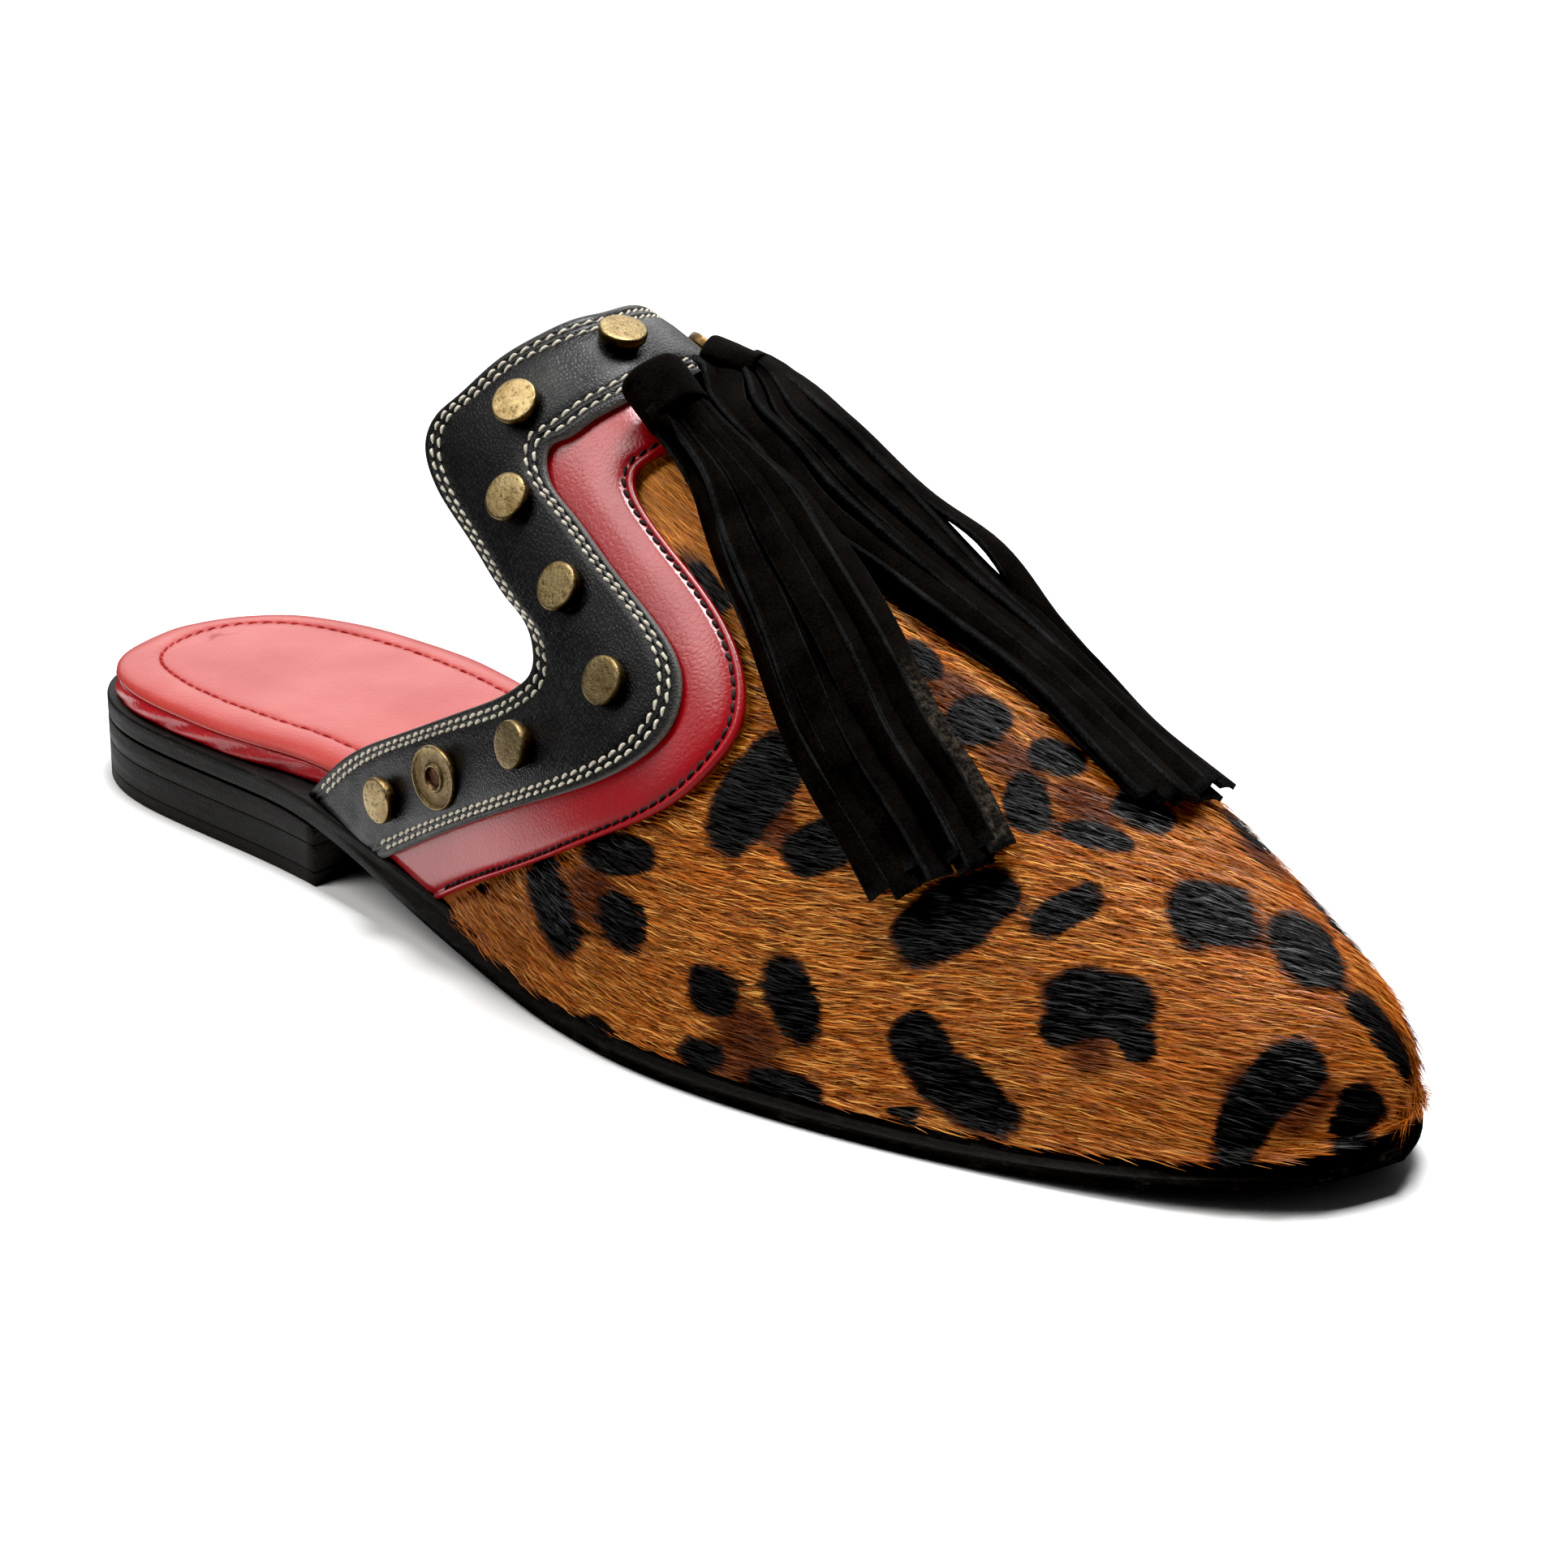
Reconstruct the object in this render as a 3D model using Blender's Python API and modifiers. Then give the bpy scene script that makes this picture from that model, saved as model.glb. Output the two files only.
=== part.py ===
# Backless flat mule, right foot: hair vamp, red band, black studded collar and two suede tassels.
# Millimetres on the last: x runs from the back of the heel to the toe, y to the inner side, z up.
import bmesh
import bpy
import numpy as np
from mathutils import Vector

MM = 0.001
GAP = 0.3  # clearance between neighbouring pieces

# Sole and heel
SEAT_HEIGHT = 14.6
SEAT_THICKNESS = 3.8
FOREPART_THICKNESS = 5.0
ARCH_BACK = 60.0
ARCH_FRONT = 140.0
THICKENING_END = 112.0
SPRING_START = 200.0
TOE_SPRING = 4.6
TOE_SWING = 1.0
SWING_START = 150.0
HEEL_BREAST = 73.5
TOP_PIECE_HEIGHT = 2.3
LOWER_LIFT_TOP = 7.2

# Plan of the sole edge: half widths to the outer and the inner side
SOLE_PLAN = (  # x, outer, inner
    (0.0, 0.0, 0.0),
    (4.0, 15.0, 13.5),
    (14.0, 23.5, 22.0),
    (34.0, 27.7, 26.4),
    (64.0, 29.0, 27.0),
    (95.0, 33.3, 27.5),
    (125.0, 38.5, 30.5),
    (155.0, 43.5, 35.0),
    (180.0, 42.2, 36.9),
    (205.0, 37.1, 34.0),
    (228.0, 30.1, 27.4),
    (246.0, 21.8, 18.6),
    (256.0, 12.4, 10.4),
    (260.6, 0.0, 0.0),
)
SOLE_LENGTH = SOLE_PLAN[-1][0]

# Edge of each layer from below: share of its thickness, step inwards, depth of the forepart groove
SOLE_EDGE = (  # rise, inset, groove
    (0.00, 0.8, 0.0),
    (0.10, 0.1, 0.0),
    (0.44, 0.0, 0.0),
    (0.49, 0.0, 0.5),
    (0.55, 0.0, 0.5),
    (0.60, 0.0, 0.0),
    (0.93, 0.0, 0.0),
    (1.00, 0.5, 0.0),
)
LIFT_EDGE = ((0.0, 0.25, 0.0), (0.12, 0.0, 0.0), (0.88, 0.0, 0.0), (1.0, 0.25, 0.0))
RIM_EDGE = ((0.0, 0.5, 0.0), (0.35, 0.0, 0.0), (0.8, 0.1, 0.0), (1.0, 0.9, 0.0))
PAD_EDGE = ((0.0, 0.6, 0.0), (0.35, 0.0, 0.0), (0.7, 0.4, 0.0), (1.0, 2.4, 0.0))
GROOVE_FROM = 76.0
GROOVE_TO = 112.0

# Footbed: a red wrapped rim below and a padded sock on it
RIM_THICKNESS = 2.9
PAD_THICKNESS = 2.5
THIN_SHARE = 0.45  # thickness left under the toes
THIN_START = 130.0
THIN_END = 215.0
FOOTBED_INSET_SEAT = 1.3
FOOTBED_INSET_INSIDE = 5.4
FOOTBED_INSET_TOE = 9.0
INSIDE_FROM = 44.0
INSIDE_TO = 78.0
TOE_INSET_START = 205.0

# Height of the instep and toe ridge
RIDGE = (  # x, z
    (60.0, 112.0),
    (80.0, 108.0),
    (95.0, 102.0),
    (113.0, 94.0),
    (122.0, 88.5),
    (140.0, 79.0),
    (166.0, 67.5),
    (199.0, 54.3),
    (224.0, 42.8),
    (243.0, 33.2),
    (252.0, 27.5),
    (257.0, 21.5),
    (259.4, 14.5),
    (260.0, 9.4),
)

# Upper: its foot stands in from the sole edge
WALL = 1.4
UPPER_INSET = 2.0
COLLAR_INSET = 3.0
TOE_INSET = 0.6
COLLAR_INSET_FROM = 95.0
COLLAR_INSET_TO = 128.0
TOE_INSET_FROM = 222.0
FULLNESS = 0.32  # wider inner instep
FULLNESS_FROM = 112.0
FULLNESS_TO = 150.0
TOE_COLUMNS = 9
BAND_THICKNESS = 1.0
COLLAR_THICKNESS = 1.2
COLLAR_SHARES = (0.0, 0.4, 0.75, 1.0)  # lines across the collar
BAND_TUCK = 2  # the band starts under this collar line
STATIONS = 61  # lines from the outer feather over the instep to the inner feather

# Seams of the outer half from the feather to the centre line, as x and girth angle in degrees
SEAMS = (  # topline x, angle, collar front x, angle, band front x, angle
    (70.5, 0.0, 93.8, 0.0, 107.5, 0.0),
    (80.8, 6.0, 106.5, 6.1, 122.1, 7.4),
    (92.8, 11.7, 121.6, 13.9, 139.6, 16.7),
    (107.4, 18.8, 132.9, 20.1, 149.5, 22.8),
    (118.8, 25.4, 142.5, 25.5, 156.5, 27.8),
    (125.6, 30.6, 150.6, 31.3, 162.4, 33.8),
    (128.1, 34.6, 156.4, 38.0, 166.3, 41.0),
    (126.5, 37.1, 158.0, 43.0, 167.5, 46.0),
    (120.0, 38.2, 156.4, 48.4, 165.9, 52.3),
    (111.3, 39.4, 149.2, 52.3, 159.5, 58.9),
    (104.1, 40.6, 138.0, 54.2, 148.6, 62.8),
    (98.8, 42.2, 127.4, 55.7, 138.9, 64.9),
    (95.8, 45.1, 121.3, 57.1, 134.7, 67.3),
    (96.1, 48.1, 120.2, 59.8, 133.9, 69.8),
    (99.5, 53.3, 121.9, 63.3, 134.2, 72.3),
    (104.6, 62.4, 124.1, 69.4, 135.0, 76.2),
    (109.4, 73.0, 126.1, 77.0, 135.8, 81.0),
    (111.9, 82.6, 126.8, 83.6, 136.4, 85.5),
    (112.8, 90.0, 127.0, 90.0, 136.6, 90.0),
)

# Studs on the collar, outer half
STUD_RADIUS = 3.6
STUD_STEPS = 12
STUD_PROFILE = (  # radius share, height
    (0.0, 2.4),
    (0.80, 2.3),
    (1.0, 1.7),
    (1.0, 0.5),
    (0.85, 0.0),
    (0.0, 0.0),
)
SNAP_PROFILE = (
    (0.0, 1.5),
    (0.34, 1.4),
    (0.42, 2.0),
    (0.92, 2.1),
    (1.0, 1.6),
    (1.0, 0.4),
    (0.85, 0.0),
    (0.0, 0.0),
)
SNAP_RADIUS = 5.0
STUDS = (  # x, angle, kind
    (95.3, 6.6, "plain"),
    (110.3, 14.0, "snap"),
    (129.8, 25.7, "plain"),
    (145.6, 41.1, "plain"),
    (132.1, 46.6, "plain"),
    (117.7, 49.7, "plain"),
    (113.1, 60.7, "plain"),
)
CENTRE_STUD = (118.6, 86.6)

# Tassels: a rolled head and a fan of strips in two layers
HEAD_STEPS = 16
HEAD_PROFILE = (  # shares of the radius and of the length
    (0.0, 1.0),
    (0.72, 1.0),
    (0.94, 0.93),
    (1.0, 0.5),
    (0.94, 0.07),
    (0.72, 0.0),
    (0.0, 0.0),
)
ROOT_WIDTH = 1.72  # root of the strips, as shares of the head's radius
ROOT_HEIGHT = 1.24
ROOT_LENGTH = 2.0
STRIP_COUNT = 6
STRIP_THICKNESS = 1.3
STRIP_SLIT = 0.5
LAND_SHARE = 0.3  # share of its length where a strip has come down to its layer
LOWER_SHARE = 0.45  # lift of the lower layer: share of the upper one, less a step, at least so much
LOWER_STEP = 0.45
LOWER_LEAST = 0.9
TASSELS = {
    "outer": {
        "size": (5.0, 8.6, 0.0),  # radius, length and clear height of the head
        "head": (132.0, 80.4),
        "aim": (150.0, 77.5, 5.6),
        "left": (  # share of the length, x, girth angle, lift
            (0.0, 137.0, 76.0, 6.5),
            (0.13, 143.5, 72.6, 5.2),
            (0.26, 151.7, 66.6, 4.2),
            (0.41, 160.0, 61.0, 3.2),
            (0.67, 174.5, 48.2, 2.6),
            (0.93, 189.6, 37.0, 2.4),
            (1.0, 193.7, 33.2, 2.4),
        ),
        "right": (
            (0.0, 138.0, 85.0, 10.0),
            (0.1, 146.3, 87.0, 9.6),
            (0.28, 158.3, 84.6, 9.2),
            (0.44, 170.1, 80.1, 8.0),
            (0.6, 182.9, 74.0, 6.0),
            (0.76, 194.2, 66.2, 4.5),
            (0.87, 202.3, 61.6, 3.6),
            (1.0, 210.7, 54.5, 2.8),
        ),
        "stagger": (0.0, 2.6, -1.4, 3.0, 0.6, -2.2),
    },
    "inner": {
        "size": (3.2, 8.2, 0.7),
        "head": (128.5, 100.0),
        "aim": (141.0, 106.0, 12.0),
        "left": (
            (0.0, 132.5, 97.0, 7.0),
            (0.2, 150.0, 88.5, 5.5),
            (0.38, 167.0, 86.0, 3.6),
            (0.58, 183.0, 86.0, 2.8),
            (0.75, 196.5, 86.4, 2.6),
            (0.87, 207.5, 84.0, 2.5),
            (1.0, 217.5, 82.0, 2.4),
        ),
        "right": (
            (0.0, 134.0, 101.5, 10.0),
            (0.12, 144.0, 103.4, 12.4),
            (0.26, 155.0, 105.0, 10.8),
            (0.42, 168.0, 107.0, 8.4),
            (0.6, 183.5, 108.5, 6.2),
            (0.72, 193.0, 109.6, 4.2),
            (0.83, 201.7, 110.4, 3.4),
            (0.92, 209.0, 111.0, 3.6),
            (1.0, 217.0, 112.0, 3.8),
        ),
        "stagger": (0.0, 3.2, 4.4, 5.0, 3.6, 0.0),
    },
}
STRIP_STEPS = 7

# Linear colours and roughness of the finishes
FINISHES = {  # colour, roughness, metallic
    "hair": ((0.33, 0.15, 0.045), 0.6, 0.0),
    "red_leather": ((0.52, 0.016, 0.022), 0.3, 0.0),
    "black_leather": ((0.012, 0.013, 0.014), 0.4, 0.0),
    "suede": ((0.009, 0.008, 0.007), 0.9, 0.0),
    "brass": ((0.27, 0.19, 0.075), 0.4, 1.0),
    "sole": ((0.011, 0.011, 0.012), 0.5, 0.0),
    "top_piece": ((0.008, 0.008, 0.008), 0.7, 0.0),
    "footbed": ((0.55, 0.045, 0.04), 0.45, 0.0),
}

for stale in list(bpy.data.objects):
    bpy.data.objects.remove(stale)

parts = bpy.data.collections.new("flat_mule")
bpy.context.scene.collection.children.link(parts)


def smooth(share):
    share = np.clip(share, 0.0, 1.0)
    return share * share * (3.0 - 2.0 * share)


def ramp(x, start, end):
    return smooth((np.asarray(x, float) - start) / (end - start))


# Natural cubic spline through points, by chord length
def spline(points, samples):
    points = np.asarray(points, float)
    chord = np.linalg.norm(np.diff(points, axis=0), axis=1)
    knots = np.concatenate([[0.0], np.cumsum(chord)])
    last = len(points) - 1
    system = np.eye(last + 1)
    pull = np.zeros_like(points)
    for i in range(1, last):
        system[i, i - 1:i + 2] = (chord[i - 1], 2.0 * (chord[i - 1] + chord[i]), chord[i])
        slope_after = (points[i + 1] - points[i]) / chord[i]
        slope_before = (points[i] - points[i - 1]) / chord[i - 1]
        pull[i] = 6.0 * (slope_after - slope_before)
    bend = np.linalg.solve(system, pull)
    along = np.linspace(0.0, knots[-1], samples)
    span = np.clip(np.searchsorted(knots, along, side="right") - 1, 0, last - 1)
    width = chord[span][:, None]
    after = (along - knots[span])[:, None] / width
    before = 1.0 - after
    sway = (before**3 - before) * bend[span] + (after**3 - after) * bend[span + 1]
    return before * points[span] + after * points[span + 1] + sway * width**2 / 6.0


FINE = 1600
RIDGE_LINE = spline(RIDGE, FINE)


# Upper face of the sole, where the upper is lasted on
def feather_height(x):
    x = np.asarray(x, float)
    rise = (SEAT_HEIGHT - FOREPART_THICKNESS) * ramp(-x, -ARCH_FRONT, -ARCH_BACK)
    spring = TOE_SPRING * np.clip((x - SPRING_START) / (SOLE_LENGTH - SPRING_START), 0.0, 1.0) ** 2
    return FOREPART_THICKNESS + rise + spring


def sole_thickness(x):
    return SEAT_THICKNESS + (FOREPART_THICKNESS - SEAT_THICKNESS) * ramp(x, ARCH_BACK, THICKENING_END)


# One half of the sole edge in plan, moved inwards square to itself
def half_plan(side, inset):
    column = 1 if side < 0 else 2
    rows = []
    for row in SOLE_PLAN:
        swing = TOE_SWING * np.clip((row[0] - SWING_START) / (SOLE_LENGTH - SWING_START), 0.0, 1.0) ** 2
        rows.append((row[0], side * row[column] + swing))
    line = spline(rows, FINE)
    along = np.gradient(line, axis=0)
    along /= np.linalg.norm(along, axis=1, keepdims=True)
    along[0] = (0.0, side)
    along[-1] = (0.0, -side)
    inward = side * np.stack([along[:, 1], -along[:, 0]], axis=1)
    depth = inset(line[:, 0]) if callable(inset) else inset
    return line, line + inward * np.reshape(depth, (-1, 1))


# Places along the length, closer together round the heel and the toe
def plan_stations(end, middle_step, round_steps):
    heel_round = 14.0
    toe_round = 24.0
    turn = np.linspace(0.0, np.pi / 2.0, round_steps + 1)
    heel = heel_round * (1.0 - np.cos(turn))
    if end < SOLE_LENGTH:
        count = int((end - heel_round) / middle_step) + 1
        return np.concatenate([heel, np.linspace(heel_round, end, count + 1)[1:]])
    toe = end - toe_round * (1.0 - np.cos(turn[::-1]))
    count = int((toe[0] - heel_round) / middle_step) + 1
    return np.concatenate([heel, np.linspace(heel_round, toe[0], count + 1)[1:-1], toe])


# Ring in plan: heel point, outer side forwards, toe point, inner side back
def plan_ring(inset, stations):
    sides = []
    for side in (-1.0, 1.0):
        line, moved = half_plan(side, inset)
        sides.append(np.stack([np.interp(stations, line[:, 0], moved[:, i]) for i in (0, 1)], axis=1))
    outer, inner = sides
    closes = stations[-1] >= SOLE_LENGTH
    return np.concatenate([outer, inner[-2 if closes else -1:0:-1]])


# Closed body from rings of equal count, with the end caps laid as rungs across
def loft(rings):
    shape = bmesh.new()
    count = len(rings[0])
    loops = [[shape.verts.new(Vector(point) * MM) for point in ring] for ring in rings]
    for lower, upper in zip(loops, loops[1:]):
        for i in range(count):
            j = (i + 1) % count
            shape.faces.new((lower[i], lower[j], upper[j], upper[i]))
    for loop in (loops[0], loops[-1]):
        shape.faces.new((loop[0], loop[1], loop[-1]))
        near, far = 1, count - 1
        while far - near > 2:
            shape.faces.new((loop[near], loop[near + 1], loop[far - 1], loop[far]))
            near += 1
            far -= 1
        if far - near == 2:
            shape.faces.new((loop[near], loop[near + 1], loop[far]))
    bmesh.ops.recalc_face_normals(shape, faces=shape.faces)
    return shape


def finish(name):
    found = bpy.data.materials.get(name)
    if found:
        return found
    colour, roughness, metallic = FINISHES[name]
    made = bpy.data.materials.new(name)
    made.use_nodes = True
    shader = made.node_tree.nodes["Principled BSDF"]
    shader.inputs["Base Color"].default_value = (*colour, 1.0)
    shader.inputs["Roughness"].default_value = roughness
    shader.inputs["Metallic"].default_value = metallic
    return made


def part(name, shape, material):
    mesh = bpy.data.meshes.new(name)
    shape.to_mesh(mesh)
    shape.free()
    mesh.materials.append(finish(material))
    mesh.shade_smooth()
    mesh.set_sharp_from_angle(angle=0.7)
    made = bpy.data.objects.new(name, mesh)
    made.parent = last
    parts.objects.link(made)
    return made


# Layer with the sole's plan between two heights
def plan_layer(name, material, edge, low, high, base_inset, stations):
    rings = []
    for rise, step, groove in edge:
        plan = plan_ring(lambda x: base_inset(x) + step + groove * ramp(x, GROOVE_FROM, GROOVE_TO), stations)
        bottom = low(plan[:, 0])
        z = bottom + rise * (high(plan[:, 0]) - bottom)
        rings.append(np.column_stack([plan, z]))
    return part(name, loft(rings), material)


def build_sole():
    stations = plan_stations(SOLE_LENGTH, 8.0, 5)
    flush = lambda x: 0.0 * x
    plan_layer(
        "outsole", "sole", SOLE_EDGE,
        lambda x: feather_height(x) - sole_thickness(x), feather_height, flush, stations,
    )
    heel = plan_stations(HEEL_BREAST, 9.0, 5)
    seat_under = SEAT_HEIGHT - SEAT_THICKNESS
    layers = (  # name, material, bottom, top
        ("heel_top_piece", "top_piece", 0.0, TOP_PIECE_HEIGHT),
        ("heel_lift_lower", "sole", TOP_PIECE_HEIGHT + GAP, LOWER_LIFT_TOP),
        ("heel_lift_upper", "sole", LOWER_LIFT_TOP + GAP, seat_under - GAP),
    )
    for name, material, bottom, top in layers:
        plan_layer(
            name, material, LIFT_EDGE, lambda x: bottom + 0.0 * x,
            lambda x: np.minimum(top, feather_height(x) - sole_thickness(x) - GAP), flush, heel,
        )


def footbed_inset(x):
    inside = (FOOTBED_INSET_INSIDE - FOOTBED_INSET_SEAT) * ramp(x, INSIDE_FROM, INSIDE_TO)
    toe = (FOOTBED_INSET_TOE - FOOTBED_INSET_INSIDE) * ramp(x, TOE_INSET_START, SOLE_LENGTH)
    return FOOTBED_INSET_SEAT + inside + toe


def footbed_share(x):
    return 1.0 - (1.0 - THIN_SHARE) * ramp(x, THIN_START, THIN_END)


def build_footbed():
    stations = plan_stations(SOLE_LENGTH, 12.0, 4)
    rim_low = lambda x: feather_height(x) + GAP
    rim_high = lambda x: rim_low(x) + RIM_THICKNESS * footbed_share(x)
    pad_low = lambda x: rim_high(x) + GAP
    pad_high = lambda x: pad_low(x) + PAD_THICKNESS * footbed_share(x)
    plan_layer("footbed_rim", "footbed", RIM_EDGE, rim_low, rim_high, footbed_inset, stations)
    plan_layer("footbed_pad", "footbed", PAD_EDGE, pad_low, pad_high, footbed_inset, stations)


def upper_inset(x):
    collar = (COLLAR_INSET - UPPER_INSET) * ramp(-x, -COLLAR_INSET_TO, -COLLAR_INSET_FROM)
    toe = (UPPER_INSET - TOE_INSET) * ramp(x, TOE_INSET_FROM, SOLE_LENGTH)
    return UPPER_INSET + collar - toe


UPPER_PLAN = [half_plan(side, upper_inset)[1] for side in (-1.0, 1.0)]
TOE_X = UPPER_PLAN[0][-1, 0]


# Point on the outside of the upper: girth angle 0 at the outer feather, 180 at the inner one
def on_last(x, angle):
    x = np.clip(np.asarray(x, float), 0.0, TOE_X)
    turn = np.radians(angle)
    outer, inner = (np.interp(x, plan[:, 0], plan[:, 1]) for plan in UPPER_PLAN)
    foot = feather_height(x) + GAP
    top = np.maximum(np.interp(x, RIDGE_LINE[:, 0], RIDGE_LINE[:, 1]), foot)
    more = FULLNESS * ramp(-x, -FULLNESS_TO, -FULLNESS_FROM)
    fuller = 1.0 + more * np.where(turn > np.pi / 2.0, np.sin(turn) ** 2, 0.0)
    y = (inner + outer) / 2.0 - (inner - outer) / 2.0 * np.cos(turn) * fuller
    return np.stack(np.broadcast_arrays(x, y, foot + (top - foot) * np.sin(turn)), axis=-1)


def outward(x, angle):
    step_x = 0.2
    step_angle = 0.5
    x = np.minimum(x, TOE_X - 2.0 * step_x)
    along = on_last(x + step_x, angle) - on_last(x - step_x, angle)
    around = on_last(x, np.add(angle, step_angle)) - on_last(x, np.subtract(angle, step_angle))
    normal = np.cross(along, around)
    return normal / np.linalg.norm(normal, axis=-1, keepdims=True)


def off_last(x, angle, lift):
    return on_last(x, angle) + np.asarray(lift)[..., None] * outward(x, angle)


# Seam lines over the whole instep at evenly spread stations
def seam_lines():
    table = np.array(SEAMS)
    mirrored = table[-2::-1].copy()
    mirrored[:, 1::2] = 180.0 - mirrored[:, 1::2]
    whole = np.concatenate([table, mirrored])
    spots = np.linspace(0.0, 1.0, STATIONS)
    lines = []
    for column in (0, 2, 4):
        seam = whole[:, column:column + 2]
        fine = spline(seam, FINE)
        steps = np.linalg.norm(np.diff(seam, axis=0), axis=1)
        reach = np.concatenate([[0.0], np.cumsum(steps)]) / steps.sum()
        spot = np.interp(spots, np.linspace(0.0, 1.0, len(seam)), reach)
        even = np.linspace(0.0, 1.0, FINE)
        lines.append(np.stack([np.interp(spot, even, fine[:, i]) for i in (0, 1)], axis=1))
    return lines


TOPLINE, COLLAR_FRONT, BAND_FRONT = seam_lines()


# Open surface from columns of points, each column running over the instep
def grid(columns, tip=None):
    shape = bmesh.new()
    lines = [[shape.verts.new(Vector(point) * MM) for point in column] for column in columns]
    for first, second in zip(lines, lines[1:]):
        for i in range(len(first) - 1):
            shape.faces.new((first[i], second[i], second[i + 1], first[i + 1]))
    if tip is not None:
        point = shape.verts.new(Vector(tip) * MM)
        for i in range(len(lines[-1]) - 1):
            shape.faces.new((lines[-1][i], point, lines[-1][i + 1]))
    return shape


def thicken(piece, wall, side):
    shell = piece.modifiers.new("wall", "SOLIDIFY")
    shell.thickness = wall * MM
    shell.offset = side
    shell.use_rim = True
    return piece


def between(first, second, share):
    return first + (second - first) * share


def build_upper():
    spots = [between(TOPLINE, COLLAR_FRONT, share) for share in COLLAR_SHARES] + [BAND_FRONT]
    even = np.linspace(0.0, 180.0, STATIONS)
    for share in np.linspace(0.0, 1.0, TOE_COLUMNS + 2)[1:-1]:
        x = between(BAND_FRONT[:, 0], TOE_X, np.sin(share * np.pi / 2.0))
        angle = between(BAND_FRONT[:, 1], even, smooth(share))
        spots.append(np.stack([x, angle], axis=1))
    columns = [on_last(spot[:, 0], spot[:, 1]) for spot in spots]
    tip = on_last(TOE_X, 0.0)
    thicken(part("upper", grid(columns, tip), "hair"), WALL, -1.0)


def build_overlays():
    under_band = GAP
    over_band = 2.0 * GAP + BAND_THICKNESS
    collar = []
    for share, lift in zip(COLLAR_SHARES, (GAP, between(GAP, over_band, 0.5), over_band, over_band)):
        spot = between(TOPLINE, COLLAR_FRONT, share)
        collar.append(off_last(spot[:, 0], spot[:, 1], np.full(STATIONS, lift)))
    thicken(part("collar", grid(collar), "black_leather"), COLLAR_THICKNESS, 1.0)
    band = []
    for share in COLLAR_SHARES[BAND_TUCK:]:
        spot = between(TOPLINE, COLLAR_FRONT, share)
        band.append(off_last(spot[:, 0], spot[:, 1], np.full(STATIONS, under_band)))
    band.append(off_last(BAND_FRONT[:, 0], BAND_FRONT[:, 1], np.full(STATIONS, under_band)))
    thicken(part("band", grid(band), "red_leather"), BAND_THICKNESS, 1.0)


# Turned piece on its own axis: the profile runs from the top centre down its outer side
def turned(name, material, profile, radius, steps):
    shape = bmesh.new()
    points = [shape.verts.new((share * radius * MM, 0.0, height * MM)) for share, height in profile]
    for upper, lower in zip(points, points[1:]):
        shape.edges.new((upper, lower))
    made = part(name, shape, material)
    screw = made.modifiers.new("turn", "SCREW")
    screw.steps = steps
    screw.render_steps = steps
    screw.use_merge_vertices = True
    screw.merge_threshold = 0.00001
    return made


def stand_on(piece, point, axis):
    piece.location = Vector(point) * MM
    piece.rotation_mode = "QUATERNION"
    piece.rotation_quaternion = Vector((0.0, 0.0, 1.0)).rotation_difference(Vector(axis))


def build_studs():
    seat = 3.0 * GAP + BAND_THICKNESS + COLLAR_THICKNESS
    places = [("stud_centre", *CENTRE_STUD, "plain")]
    for number, (x, angle, kind) in enumerate(STUDS, 1):
        places.append((f"{'stud' if kind == 'plain' else 'snap'}_outer_{number}", x, angle, kind))
        places.append((f"stud_inner_{number}", x, 180.0 - angle, "plain"))
    for name, x, angle, kind in places:
        profile, radius = (STUD_PROFILE, STUD_RADIUS) if kind == "plain" else (SNAP_PROFILE, SNAP_RADIUS)
        stud = turned(name, "brass", profile, radius, STUD_STEPS)
        stand_on(stud, off_last(x, angle, seat), outward(x, angle))


# Place on a tassel's edge line at a share of its length: x, girth angle and lift
def edge_place(line, share):
    rows = np.array(line)
    return np.array([np.interp(share, rows[:, 0], rows[:, column]) for column in (1, 2, 3)])


# Corners of one layer of strips at a share of their length: bottom and top of each strip edge
def strip_lines(tassel, layer, root, run, share):
    edges = np.linspace(0.0, 1.0, STRIP_COUNT + 1)
    left, right = edge_place(tassel["left"], share), edge_place(tassel["right"], share)
    stagger = np.append(tassel["stagger"], tassel["stagger"][-1])
    landed = smooth(share / LAND_SHARE)
    lines = []
    for edge, extra in zip(edges, stagger):
        x, angle, lift = between(left, right, edge)
        if layer == 0:
            lift = max(LOWER_LEAST, LOWER_SHARE * lift - LOWER_STEP)
        pair = []
        for rise in (0.0, STRIP_THICKNESS):
            laid = off_last(x + extra * share, angle, lift + rise)
            held = root(edge, layer + rise / STRIP_THICKNESS) + run * share
            pair.append(between(held, laid, landed))
        lines.append(pair)
    return lines


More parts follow.
